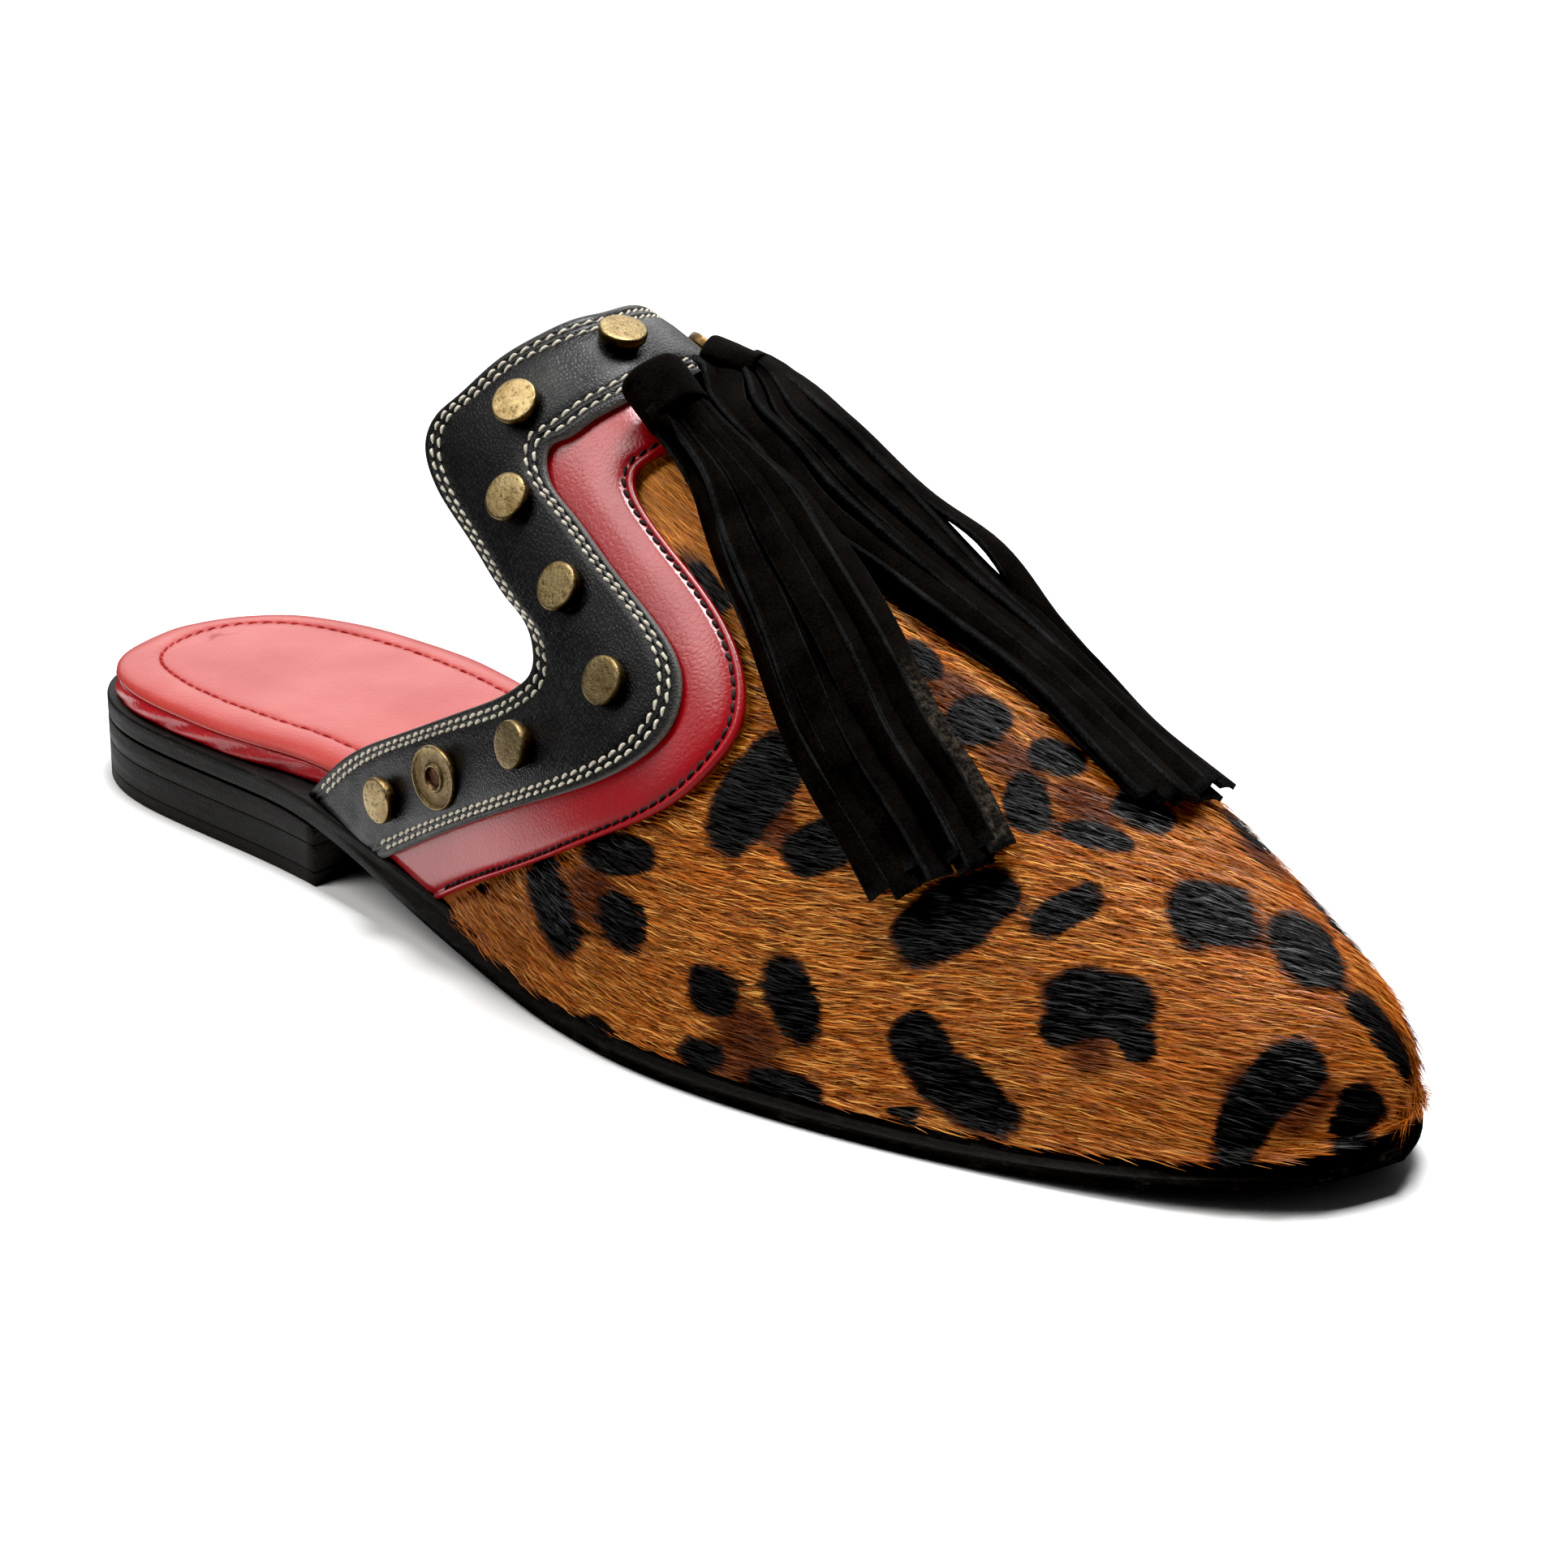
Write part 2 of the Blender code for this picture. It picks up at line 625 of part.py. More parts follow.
def build_tassel(name, tassel):
    x, angle = tassel["head"]
    normal = outward(x, angle)
    radius, head_length, above = tassel["size"]
    clear = 3.0 * GAP + BAND_THICKNESS + COLLAR_THICKNESS + radius + above
    centre = off_last(x, angle, clear)
    aim = off_last(*tassel["aim"]) - centre
    axis = aim / np.linalg.norm(aim)
    side = np.cross(axis, normal)
    side /= np.linalg.norm(side)
    lift = np.cross(side, axis)
    profile = [(share, rise * head_length) for share, rise in HEAD_PROFILE]
    head = turned(f"tassel_head_{name}", "suede", profile, radius, HEAD_STEPS)
    stand_on(head, centre - axis * head_length / 2.0, axis)

    start = centre + axis * (head_length / 2.0 + GAP)
    front = start + axis * ROOT_LENGTH
    across = side if side[1] > 0.0 else -side

    def root(edge, level):
        sideways = across * ROOT_WIDTH * radius * (edge - 0.5)
        return front + sideways + lift * ROOT_HEIGHT * radius * (level - 1.0) / 2.0

    length = np.linalg.norm(on_last(*tassel["left"][-1][1:3]) - on_last(x, angle))
    shape = bmesh.new()
    vertex = lambda point: shape.verts.new(Vector(point) * MM)
    back = [[vertex(root(edge, level) - axis * ROOT_LENGTH) for level in (0, 1, 2)]
            for edge in np.linspace(0.0, 1.0, STRIP_COUNT + 1)]
    face = [[vertex(root(edge, level)) for level in (0, 1, 2)]
            for edge in np.linspace(0.0, 1.0, STRIP_COUNT + 1)]
    for k in range(STRIP_COUNT):
        for level in (0, 1):
            shape.faces.new((back[k][level], back[k][level + 1], back[k + 1][level + 1], back[k + 1][level]))
        for level in (0, 2):
            shape.faces.new((back[k][level], back[k + 1][level], face[k + 1][level], face[k][level]))
    for k in (0, STRIP_COUNT):
        for level in (0, 1):
            shape.faces.new((back[k][level], face[k][level], face[k][level + 1], back[k][level + 1]))
    shares = np.linspace(0.0, 1.0, STRIP_STEPS + 1)[1:]
    for layer in (0, 1):
        rows = [strip_lines(tassel, layer, root, axis * length, share) for share in shares]
        for k in range(STRIP_COUNT):
            loop = [face[k][layer], face[k + 1][layer], face[k + 1][layer + 1], face[k][layer + 1]]
            for row in rows:
                width = np.linalg.norm(row[k + 1][0] - row[k][0])
                trim = min(0.5, STRIP_SLIT / width)
                corners = []
                for edge, other, rise in ((k, k + 1, 0), (k + 1, k, 0), (k + 1, k, 1), (k, k + 1, 1)):
                    corners.append(vertex(between(row[edge][rise], row[other][rise], trim / 2.0)))
                for i in range(4):
                    j = (i + 1) % 4
                    shape.faces.new((loop[i], loop[j], corners[j], corners[i]))
                loop = corners
            shape.faces.new(loop)
    bmesh.ops.recalc_face_normals(shape, faces=shape.faces)
    part(f"tassel_fringe_{name}", shape, "suede")


# The empty carries the last's frame: its origin lies under the middle of the sole's box
edge_lines = [half_plan(side, 0.0)[0] for side in (-1.0, 1.0)]
middle_y = (edge_lines[0][:, 1].min() + edge_lines[1][:, 1].max()) / 2.0
last = bpy.data.objects.new("last", None)
last.location = (-SOLE_LENGTH / 2.0 * MM, -middle_y * MM, 0.0)
parts.objects.link(last)

build_sole()
build_footbed()
build_upper()
build_overlays()
build_studs()
for tassel_name, tassel_sizes in TASSELS.items():
    build_tassel(tassel_name, tassel_sizes)
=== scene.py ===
# Looks of the flat mule: hair vamp, red band, studded black collar, suede tassels, red padded footbed.
# Sizes are millimetres on the last: x from the heel to the toe, y to the inner side, z up.
# A place on the upper is x with a girth angle: 0 at the outer feather, 90 on the ridge, 180 inside.
import math

import bmesh
import bpy
import numpy as np
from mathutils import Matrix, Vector, noise


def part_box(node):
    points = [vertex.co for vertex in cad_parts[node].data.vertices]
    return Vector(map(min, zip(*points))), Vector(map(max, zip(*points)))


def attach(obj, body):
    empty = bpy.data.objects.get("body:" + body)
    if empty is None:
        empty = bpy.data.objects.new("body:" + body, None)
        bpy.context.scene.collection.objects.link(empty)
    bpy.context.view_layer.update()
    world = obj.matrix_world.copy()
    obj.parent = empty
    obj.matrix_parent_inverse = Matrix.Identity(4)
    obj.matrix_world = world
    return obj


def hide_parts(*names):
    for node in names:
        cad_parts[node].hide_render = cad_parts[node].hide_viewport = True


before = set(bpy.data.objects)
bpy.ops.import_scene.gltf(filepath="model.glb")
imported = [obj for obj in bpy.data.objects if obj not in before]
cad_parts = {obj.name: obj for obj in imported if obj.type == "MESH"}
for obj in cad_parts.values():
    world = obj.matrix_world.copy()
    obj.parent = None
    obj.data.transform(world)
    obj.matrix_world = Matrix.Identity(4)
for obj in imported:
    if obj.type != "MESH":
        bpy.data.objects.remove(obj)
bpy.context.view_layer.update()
scene = bpy.context.scene
mm = 0.001
fine = 1600  # samples along a drawn line
print("frame loaded:", len(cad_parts), "nodes")

# The last
lastShape = {
    "length": 260.6,
    "seatHeight": 14.6,
    "seatThickness": 3.8,
    "forepartThickness": 5.0,
    "arch": (60.0, 140.0),
    "thickening": (60.0, 112.0),
    "toeSpring": (200.0, 4.6),  # where it starts, rise at the tip
    "toeSwing": (150.0, 1.0),
    "clearance": 0.3,
    "plan": (  # x, half width outside, half width inside
        (0.0, 0.0, 0.0),
        (4.0, 15.0, 13.5),
        (14.0, 23.5, 22.0),
        (34.0, 27.7, 26.4),
        (64.0, 29.0, 27.0),
        (95.0, 33.3, 27.5),
        (125.0, 38.5, 30.5),
        (155.0, 43.5, 35.0),
        (180.0, 42.2, 36.9),
        (205.0, 37.1, 34.0),
        (228.0, 30.1, 27.4),
        (246.0, 21.8, 18.6),
        (256.0, 12.4, 10.4),
        (260.6, 0.0, 0.0),
    ),
    "ridge": (  # x, z
        (60.0, 112.0),
        (80.0, 108.0),
        (95.0, 102.0),
        (113.0, 94.0),
        (122.0, 88.5),
        (140.0, 79.0),
        (166.0, 67.5),
        (199.0, 54.3),
        (224.0, 42.8),
        (243.0, 33.2),
        (252.0, 27.5),
        (257.0, 21.5),
        (259.4, 14.5),
        (260.0, 9.4),
    ),
    "upperInset": 2.0,
    "collarInset": (1.0, 95.0, 128.0),  # more at the collar, from, to
    "toeInset": (1.4, 222.0, 260.6),  # less at the toe, from, to
    "innerFullness": (0.32, 112.0, 150.0),  # wider inner instep, from, to
}


def smooth(share):
    share = np.clip(share, 0.0, 1.0)
    return share * share * (3.0 - 2.0 * share)


def ramp(x, start, end):
    return smooth((np.asarray(x, float) - start) / (end - start))


def between(first, second, share):
    return first + (second - first) * share


def softNoise(points, scale):
    return np.array([noise.noise(Vector(point) * scale) for point in points])


def unit(vectors):
    return vectors / np.linalg.norm(vectors, axis=-1, keepdims=True)


# Natural cubic through points, by chord length
def spline(points, samples):
    points = np.asarray(points, float)
    chord = np.linalg.norm(np.diff(points, axis=0), axis=1)
    knots = np.concatenate([[0.0], np.cumsum(chord)])
    end = len(points) - 1
    system = np.eye(end + 1)
    pull = np.zeros_like(points)
    for i in range(1, end):
        system[i, i - 1:i + 2] = (chord[i - 1], 2.0 * (chord[i - 1] + chord[i]), chord[i])
        slopeAfter = (points[i + 1] - points[i]) / chord[i]
        slopeBefore = (points[i] - points[i - 1]) / chord[i - 1]
        pull[i] = 6.0 * (slopeAfter - slopeBefore)
    bend = np.linalg.solve(system, pull)
    along = np.linspace(0.0, knots[-1], samples)
    span = np.clip(np.searchsorted(knots, along, side="right") - 1, 0, end - 1)
    width = chord[span][:, None]
    after = (along - knots[span])[:, None] / width
    before = 1.0 - after
    sway = (before**3 - before) * bend[span] + (after**3 - after) * bend[span + 1]
    return before * points[span] + after * points[span + 1] + sway * width**2 / 6.0


def featherHeight(x):
    x = np.asarray(x, float)
    back, front = lastShape["arch"]
    start, spring = lastShape["toeSpring"]
    rise = (lastShape["seatHeight"] - lastShape["forepartThickness"]) * ramp(-x, -front, -back)
    toe = spring * np.clip((x - start) / (lastShape["length"] - start), 0.0, 1.0) ** 2
    return lastShape["forepartThickness"] + rise + toe


def soleThickness(x):
    seat = lastShape["seatThickness"]
    return seat + (lastShape["forepartThickness"] - seat) * ramp(x, *lastShape["thickening"])


# One half of the sole edge in plan, and the same line moved inwards
def halfPlan(side, inset):
    column = 1 if side < 0 else 2
    start, swing = lastShape["toeSwing"]
    rows = []
    for row in lastShape["plan"]:
        swung = swing * np.clip((row[0] - start) / (lastShape["length"] - start), 0.0, 1.0) ** 2
        rows.append((row[0], side * row[column] + swung))
    line = spline(rows, fine)
    along = unit(np.gradient(line, axis=0))
    along[0] = (0.0, side)
    along[-1] = (0.0, -side)
    inward = side * np.stack([along[:, 1], -along[:, 0]], axis=1)
    depth = inset(line[:, 0]) if callable(inset) else inset
    return line, line + inward * np.reshape(depth, (-1, 1))


def upperInset(x):
    more, back, front = lastShape["collarInset"]
    less, start, end = lastShape["toeInset"]
    return lastShape["upperInset"] + more * ramp(-x, -front, -back) - less * ramp(x, start, end)


ridgeLine = spline(lastShape["ridge"], fine)
upperPlan = [halfPlan(side, upperInset)[1] for side in (-1.0, 1.0)]
toeX = upperPlan[0][-1, 0]


def onLast(x, angle):
    x = np.clip(np.asarray(x, float), 0.0, toeX)
    turn = np.radians(angle)
    outer, inner = (np.interp(x, plan[:, 0], plan[:, 1]) for plan in upperPlan)
    foot = featherHeight(x) + lastShape["clearance"]
    top = np.maximum(np.interp(x, ridgeLine[:, 0], ridgeLine[:, 1]), foot)
    more, back, front = lastShape["innerFullness"]
    fuller = 1.0 + more * ramp(-x, -front, -back) * np.where(turn > np.pi / 2.0, np.sin(turn) ** 2, 0.0)
    y = (inner + outer) / 2.0 - (inner - outer) / 2.0 * np.cos(turn) * fuller
    return np.stack(np.broadcast_arrays(x, y, foot + (top - foot) * np.sin(turn)), axis=-1)


# Directions along and round the last, the outward normal, and millimetres per degree
def lastFrame(x, angle):
    stepX = 0.2
    stepAngle = 0.5
    x = np.minimum(x, toeX - 2.0 * stepX)
    along = onLast(x + stepX, angle) - onLast(x - stepX, angle)
    around = onLast(x, np.add(angle, stepAngle)) - onLast(x, np.subtract(angle, stepAngle))
    perDegree = np.linalg.norm(around, axis=-1) / (2.0 * stepAngle)
    stretch = np.linalg.norm(along, axis=-1) / (2.0 * stepX)
    return unit(along), unit(around), unit(np.cross(along, around)), stretch, perDegree


def offLast(x, angle, lift):
    return onLast(x, angle) + np.asarray(lift)[..., None] * lastFrame(x, angle)[2]


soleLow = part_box("outsole")[0]
outerEdge = halfPlan(-1.0, 0.0)[0]
lastOrigin = np.array([soleLow.x / mm, soleLow.y / mm - outerEdge[:, 1].min(), 0.0])


def toRow(points):
    return (np.asarray(points, float).reshape(-1, 3) + lastOrigin) * mm


# Seams over the instep: topline, collar front and band front
seams = {
    "stations": 241,
    "outerHalf": (  # topline x, angle, collar front x, angle, band front x, angle
        (70.5, 0.0, 93.8, 0.0, 107.5, 0.0),
        (80.8, 6.0, 106.5, 6.1, 122.1, 7.4),
        (92.8, 11.7, 121.6, 13.9, 139.6, 16.7),
        (107.4, 18.8, 132.9, 20.1, 149.5, 22.8),
        (118.8, 25.4, 142.5, 25.5, 156.5, 27.8),
        (125.6, 30.6, 150.6, 31.3, 162.4, 33.8),
        (128.1, 34.6, 156.4, 38.0, 166.3, 41.0),
        (126.5, 37.1, 158.0, 43.0, 167.5, 46.0),
        (120.0, 38.2, 156.4, 48.4, 165.9, 52.3),
        (111.3, 39.4, 149.2, 52.3, 159.5, 58.9),
        (104.1, 40.6, 138.0, 54.2, 148.6, 62.8),
        (98.8, 42.2, 127.4, 55.7, 138.9, 64.9),
        (95.8, 45.1, 121.3, 57.1, 134.7, 67.3),
        (96.1, 48.1, 120.2, 59.8, 133.9, 69.8),
        (99.5, 53.3, 121.9, 63.3, 134.2, 72.3),
        (104.6, 62.4, 124.1, 69.4, 135.0, 76.2),
        (109.4, 73.0, 126.1, 77.0, 135.8, 81.0),
        (111.9, 82.6, 126.8, 83.6, 136.4, 85.5),
        (112.8, 90.0, 127.0, 90.0, 136.6, 90.0),
    ),
}


def seamLines(stations):
    table = np.array(seams["outerHalf"])
    mirrored = table[-2::-1].copy()
    mirrored[:, 1::2] = 180.0 - mirrored[:, 1::2]
    whole = np.concatenate([table, mirrored])
    lines = []
    for column in (0, 2, 4):
        seam = whole[:, column:column + 2]
        drawn = spline(seam, fine)
        steps = np.linalg.norm(np.diff(seam, axis=0), axis=1)
        reach = np.concatenate([[0.0], np.cumsum(steps)]) / steps.sum()
        spot = np.interp(np.linspace(0.0, 1.0, stations), np.linspace(0.0, 1.0, len(seam)), reach)
        even = np.linspace(0.0, 1.0, fine)
        lines.append(np.stack([np.interp(spot, even, drawn[:, i]) for i in (0, 1)], axis=1))
    return lines


topline, collarFront, bandFront = seamLines(seams["stations"])


# Meshes, with marks at their points for materials and node trees
def setMark(mesh, label, values):
    values = np.asarray(values, np.float32)
    isVector = values.ndim > 1
    layer = mesh.attributes.new(label, "FLOAT_VECTOR" if isVector else "FLOAT", "POINT")
    layer.data.foreach_set("vector" if isVector else "value", values.ravel())


def weldedMesh(name, points, faces, marks, weld):
    mesh = bpy.data.meshes.new(name)
    mesh.from_pydata(np.asarray(points, float).tolist(), [], faces)
    for label, values in (marks or {}).items():
        setMark(mesh, label, values)
    shape = bmesh.new()
    shape.from_mesh(mesh)
    bmesh.ops.remove_doubles(shape, verts=shape.verts, dist=weld)
    bmesh.ops.recalc_face_normals(shape, faces=shape.faces)
    shape.to_mesh(mesh)
    shape.free()
    mesh.shade_smooth()
    return mesh


def makeMesh(name, points, faces, marks=None):
    return weldedMesh(name, toRow(points), faces, marks, 0.000002)


def addObject(name, data):
    made = bpy.data.objects.new(name, data)
    scene.collection.objects.link(made)
    return made


def addPiece(name, mesh, material, stands=()):
    return dress(addObject(name, mesh), material, stands)


def dress(piece, material, stands=()):
    piece.data.materials.clear()
    piece.data.materials.append(material)
    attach(piece, "root")
    if stands:
        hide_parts(*stands)
    return piece


def gridQuads(rows, columns, closed=False):
    index = np.arange(rows * columns).reshape(rows, columns)
    if closed:
        index = np.concatenate([index, index[:, :1]], axis=1)
    return np.stack([index[:-1, :-1], index[1:, :-1], index[1:, 1:], index[:-1, 1:]], -1).reshape(-1, 4)


# Closed sheet from its outer and inner grids of points
def sheetMesh(name, outer, inner, marks=None):
    rows, columns = outer.shape[:2]
    count = rows * columns
    quads = gridQuads(rows, columns)
    index = np.arange(count).reshape(rows, columns)
    border = np.concatenate([index[0, :-1], index[:-1, -1], index[-1, :0:-1], index[:0:-1, 0]])
    follow = np.roll(border, -1)
    rim = np.stack([border, follow, follow + count, border + count], axis=1)
    faces = np.concatenate([quads, quads[:, ::-1] + count, rim])
    points = np.concatenate([outer.reshape(-1, 3), inner.reshape(-1, 3)])
    doubled = {label: np.concatenate([values, values]) for label, values in (marks or {}).items()}
    return makeMesh(name, points, faces.tolist(), doubled)


# Closed strip: sections of equal count along a path, flat at both ends
def stripMesh(name, sections, marks=None):
    rows, columns = sections.shape[:2]
    faces = gridQuads(rows, columns, closed=True).tolist()
    faces.append(list(range(columns)))
    faces.append(list(range((rows - 1) * columns, rows * columns)))
    return makeMesh(name, sections.reshape(-1, 3), faces, marks)


# Turned form: radius and height pairs from the top centre down to the bottom centre
def turnedMesh(profile, steps):
    turn = np.linspace(0.0, 2.0 * np.pi, steps, endpoint=False)
    radius = np.maximum([row[0] for row in profile], 0.0)[:, None]
    height = np.array([row[1] for row in profile])[:, None]
    points = np.stack([radius * np.cos(turn), radius * np.sin(turn), height + 0.0 * turn], axis=-1)
    return points.reshape(-1, 3), gridQuads(len(profile), steps, closed=True).tolist()


# Geometry Nodes and shader helpers
def addNode(tree, kind, inputs=None, **settings):
    node = tree.nodes.new(kind)
    for key, value in settings.items():
        setattr(node, key, value)
    for key, value in (inputs or {}).items():
        if isinstance(value, bpy.types.NodeSocket):
            tree.links.new(value, node.inputs[key])
        else:
            node.inputs[key].default_value = value
    return node


def newTree(name, inputs):
    tree = bpy.data.node_groups.new(name, "GeometryNodeTree")
    tree.interface.new_socket("Geometry", in_out="INPUT", socket_type="NodeSocketGeometry")
    for label, kind in inputs:
        tree.interface.new_socket(label, in_out="INPUT", socket_type="NodeSocket" + kind)
    tree.interface.new_socket("Geometry", in_out="OUTPUT", socket_type="NodeSocketGeometry")
    return tree, tree.nodes.new("NodeGroupInput").outputs


def endTree(tree, instances, material):
    solid = addNode(tree, "GeometryNodeRealizeInstances", {"Geometry": instances})
    painted = addNode(tree, "GeometryNodeSetMaterial", {"Geometry": solid.outputs[0], "Material": material})
    addNode(tree, "NodeGroupOutput", {"Geometry": painted.outputs[0]})
    return tree


def named(tree, label, kind="FLOAT"):
    return addNode(tree, "GeometryNodeInputNamedAttribute", {"Name": label}, data_type=kind).outputs[0]


def chance(tree, low, high, seed):
    return addNode(tree, "FunctionNodeRandomValue", {2: low, 3: high, "Seed": seed}).outputs[1]


def maths(tree, operation, first, second):
    return addNode(tree, "ShaderNodeMath", {0: first, 1: second}, operation=operation).outputs[0]


# Turns a mesh with a node tree on it into a plain mesh object
def growPiece(name, mesh, tree, values):
    piece = addObject(name, mesh)
    modifier = piece.modifiers.new(tree.name, "NODES")
    modifier.node_group = tree
    for item in tree.interface.items_tree:
        if item.item_type == "SOCKET" and item.in_out == "INPUT" and item.name in values:
            modifier[item.identifier] = values[item.name]
    graph = bpy.context.evaluated_depsgraph_get()
    grown = bpy.data.meshes.new_from_object(piece.evaluated_get(graph))
    piece.modifiers.remove(modifier)
    piece.data = grown
    bpy.data.meshes.remove(mesh)
    return piece


def template(name, points, faces, marks=None):
    return addObject(name, weldedMesh(name, points, faces, marks, 0.00001))


# Nodes that stand a template on points, turned about its own axes
def standOn(tree, normal, ahead=None):
    axes = {"Primary Axis": normal}
    if ahead is not None:
        axes["Secondary Axis"] = ahead
    kind = "FunctionNodeAxesToRotation"
    return addNode(tree, kind, axes, primary_axis="Z", secondary_axis="X").outputs[0]


def turnBy(tree, rotation, turns):
    euler = addNode(tree, "ShaderNodeCombineXYZ", turns).outputs[0]
    more = addNode(tree, "FunctionNodeEulerToRotation", {0: euler}).outputs[0]
    inputs = {"Rotation": rotation, "Rotate By": more}
    return addNode(tree, "FunctionNodeRotateRotation", inputs, rotation_space="LOCAL").outputs[0]


def putOn(tree, points, thing, rotation, size=None):
    shown = addNode(tree, "GeometryNodeObjectInfo", {"Object": thing, "As Instance": True})
    inputs = {"Points": points, "Instance": shown.outputs["Geometry"], "Rotation": rotation}
    if size is not None:
        inputs["Scale"] = addNode(tree, "ShaderNodeCombineXYZ", size).outputs[0]
    return addNode(tree, "GeometryNodeInstanceOnPoints", inputs).outputs[0]


def storeValue(tree, geometry, label, value):
    kind = "GeometryNodeStoreNamedAttribute"
    inputs = {"Geometry": geometry, "Name": label, "Value": value}
    return addNode(tree, kind, inputs, data_type="FLOAT", domain="POINT").outputs[0]


def newGroup(name, inputs, outputs):
    group = bpy.data.node_groups.new(name, "ShaderNodeTree")
    for label, kind, value in inputs:
        socket = group.interface.new_socket(label, in_out="INPUT", socket_type="NodeSocket" + kind)
        if value is not None:
            socket.default_value = value
    for label, kind in outputs:
        group.interface.new_socket(label, in_out="OUTPUT", socket_type="NodeSocket" + kind)
    return group, group.nodes.new("NodeGroupInput").outputs, group.nodes.new("NodeGroupOutput").inputs


def noiseAt(tree, vector, scale, detail=2.0, roughness=0.5):
    sockets = {"Vector": vector, "Scale": scale, "Detail": detail, "Roughness": roughness}
    return addNode(tree, "ShaderNodeTexNoise", sockets).outputs["Fac"]


def spread(tree, value, low, high, toLow=0.0, toHigh=1.0):
    sockets = {0: value, 1: low, 2: high, 3: toLow, 4: toHigh}
    return addNode(tree, "ShaderNodeMapRange", sockets).outputs["Result"]


def mixColour(tree, share, first, second):
    sockets = {0: share, 6: first, 7: second}
    for number in (6, 7):
        if not isinstance(sockets[number], bpy.types.NodeSocket):
            sockets[number] = (*sockets[number], 1.0)
    return addNode(tree, "ShaderNodeMix", sockets, data_type="RGBA").outputs[2]


def stretched(tree, vector, scale):
    return addNode(tree, "ShaderNodeMapping", {"Vector": vector, "Scale": scale}).outputs[0]


def mark(tree, label):
    return addNode(tree, "ShaderNodeAttribute", attribute_name=label).outputs["Fac"]


def newMaterial(name, constants):
    material = bpy.data.materials.new(name)
    material.use_nodes = True
    tree = material.node_tree
    shader = tree.nodes["Principled BSDF"]
    for label, value in constants.items():
        shader.inputs[label].default_value = value
    place = addNode(tree, "ShaderNodeTexCoord").outputs["Object"]
    return material, tree, shader, place


def placeGroup(tree, group, inputs):
    return addNode(tree, "ShaderNodeGroup", inputs, node_tree=group).outputs


def bumpInto(tree, shader, height, distance, strength=1.0):
    sockets = {"Height": height, "Distance": distance * mm, "Strength": strength}
    tree.links.new(addNode(tree, "ShaderNodeBump", sockets).outputs[0], shader.inputs["Normal"])


def feed(tree, shader, **sockets):
    for label, value in sockets.items():
        tree.links.new(value, shader.inputs[label.replace("_", " ")])


# Effects that several finishes share
def grainGroup():
    group, given, result = newGroup(
        "leatherGrain",
        [("Vector", "Vector", None), ("Cells", "Float", 800.0), ("Wrinkle", "Float", 60.0)],
        [("Height", "Float"), ("Valley", "Float"), ("Blotch", "Float")],
    )
    place = given["Vector"]
    warp = addNode(group, "ShaderNodeTexNoise", {"Vector": place, "Scale": 180.0}).outputs["Color"]
    shift = addNode(group, "ShaderNodeVectorMath", {0: warp, 3: 0.0016}, operation="SCALE").outputs[0]
    moved = addNode(group, "ShaderNodeVectorMath", {0: place, 1: shift}, operation="ADD").outputs[0]
    sockets = {"Vector": moved, "Scale": given["Cells"]}
    cells = addNode(group, "ShaderNodeTexVoronoi", sockets, feature="DISTANCE_TO_EDGE").outputs["Distance"]
    pebble = spread(group, cells, 0.0, 0.28)
    finer = noiseAt(group, place, maths(group, "MULTIPLY", given["Cells"], 2.6), 2.0)
    folds = noiseAt(group, place, given["Wrinkle"], 3.0, 0.6)
    low, middle, high = (
        maths(group, "MULTIPLY", part, share) for part, share in ((finer, 0.12), (folds, 0.55), (pebble, 0.6))
    )
    height = maths(group, "ADD", maths(group, "ADD", high, low), middle)
    group.links.new(height, result["Height"])
    group.links.new(spread(group, cells, 0.16, 0.02), result["Valley"])
    group.links.new(spread(group, folds, 0.35, 0.7), result["Blotch"])
    return group


def scuffGroup():
    group, given, result = newGroup(
        "scuffs",
        [("Vector", "Vector", None), ("Marks", "Float", 120.0), ("Amount", "Float", 0.5)],
        [("Mask", "Float"), ("Height", "Float")],
    )
    lengths = stretched(group, given["Vector"], (0.25, 1.0, 1.6))
    scratch = noiseAt(group, lengths, maths(group, "MULTIPLY", given["Marks"], 6.0), 3.0, 0.7)
    patch = noiseAt(group, given["Vector"], given["Marks"], 3.0, 0.6)
    both = maths(group, "MULTIPLY", spread(group, scratch, 0.5, 0.72), spread(group, patch, 0.42, 0.68))
    group.links.new(maths(group, "MULTIPLY", both, given["Amount"]), result["Mask"])
    group.links.new(maths(group, "SUBTRACT", patch, maths(group, "MULTIPLY", both, 0.5)), result["Height"])
    return group


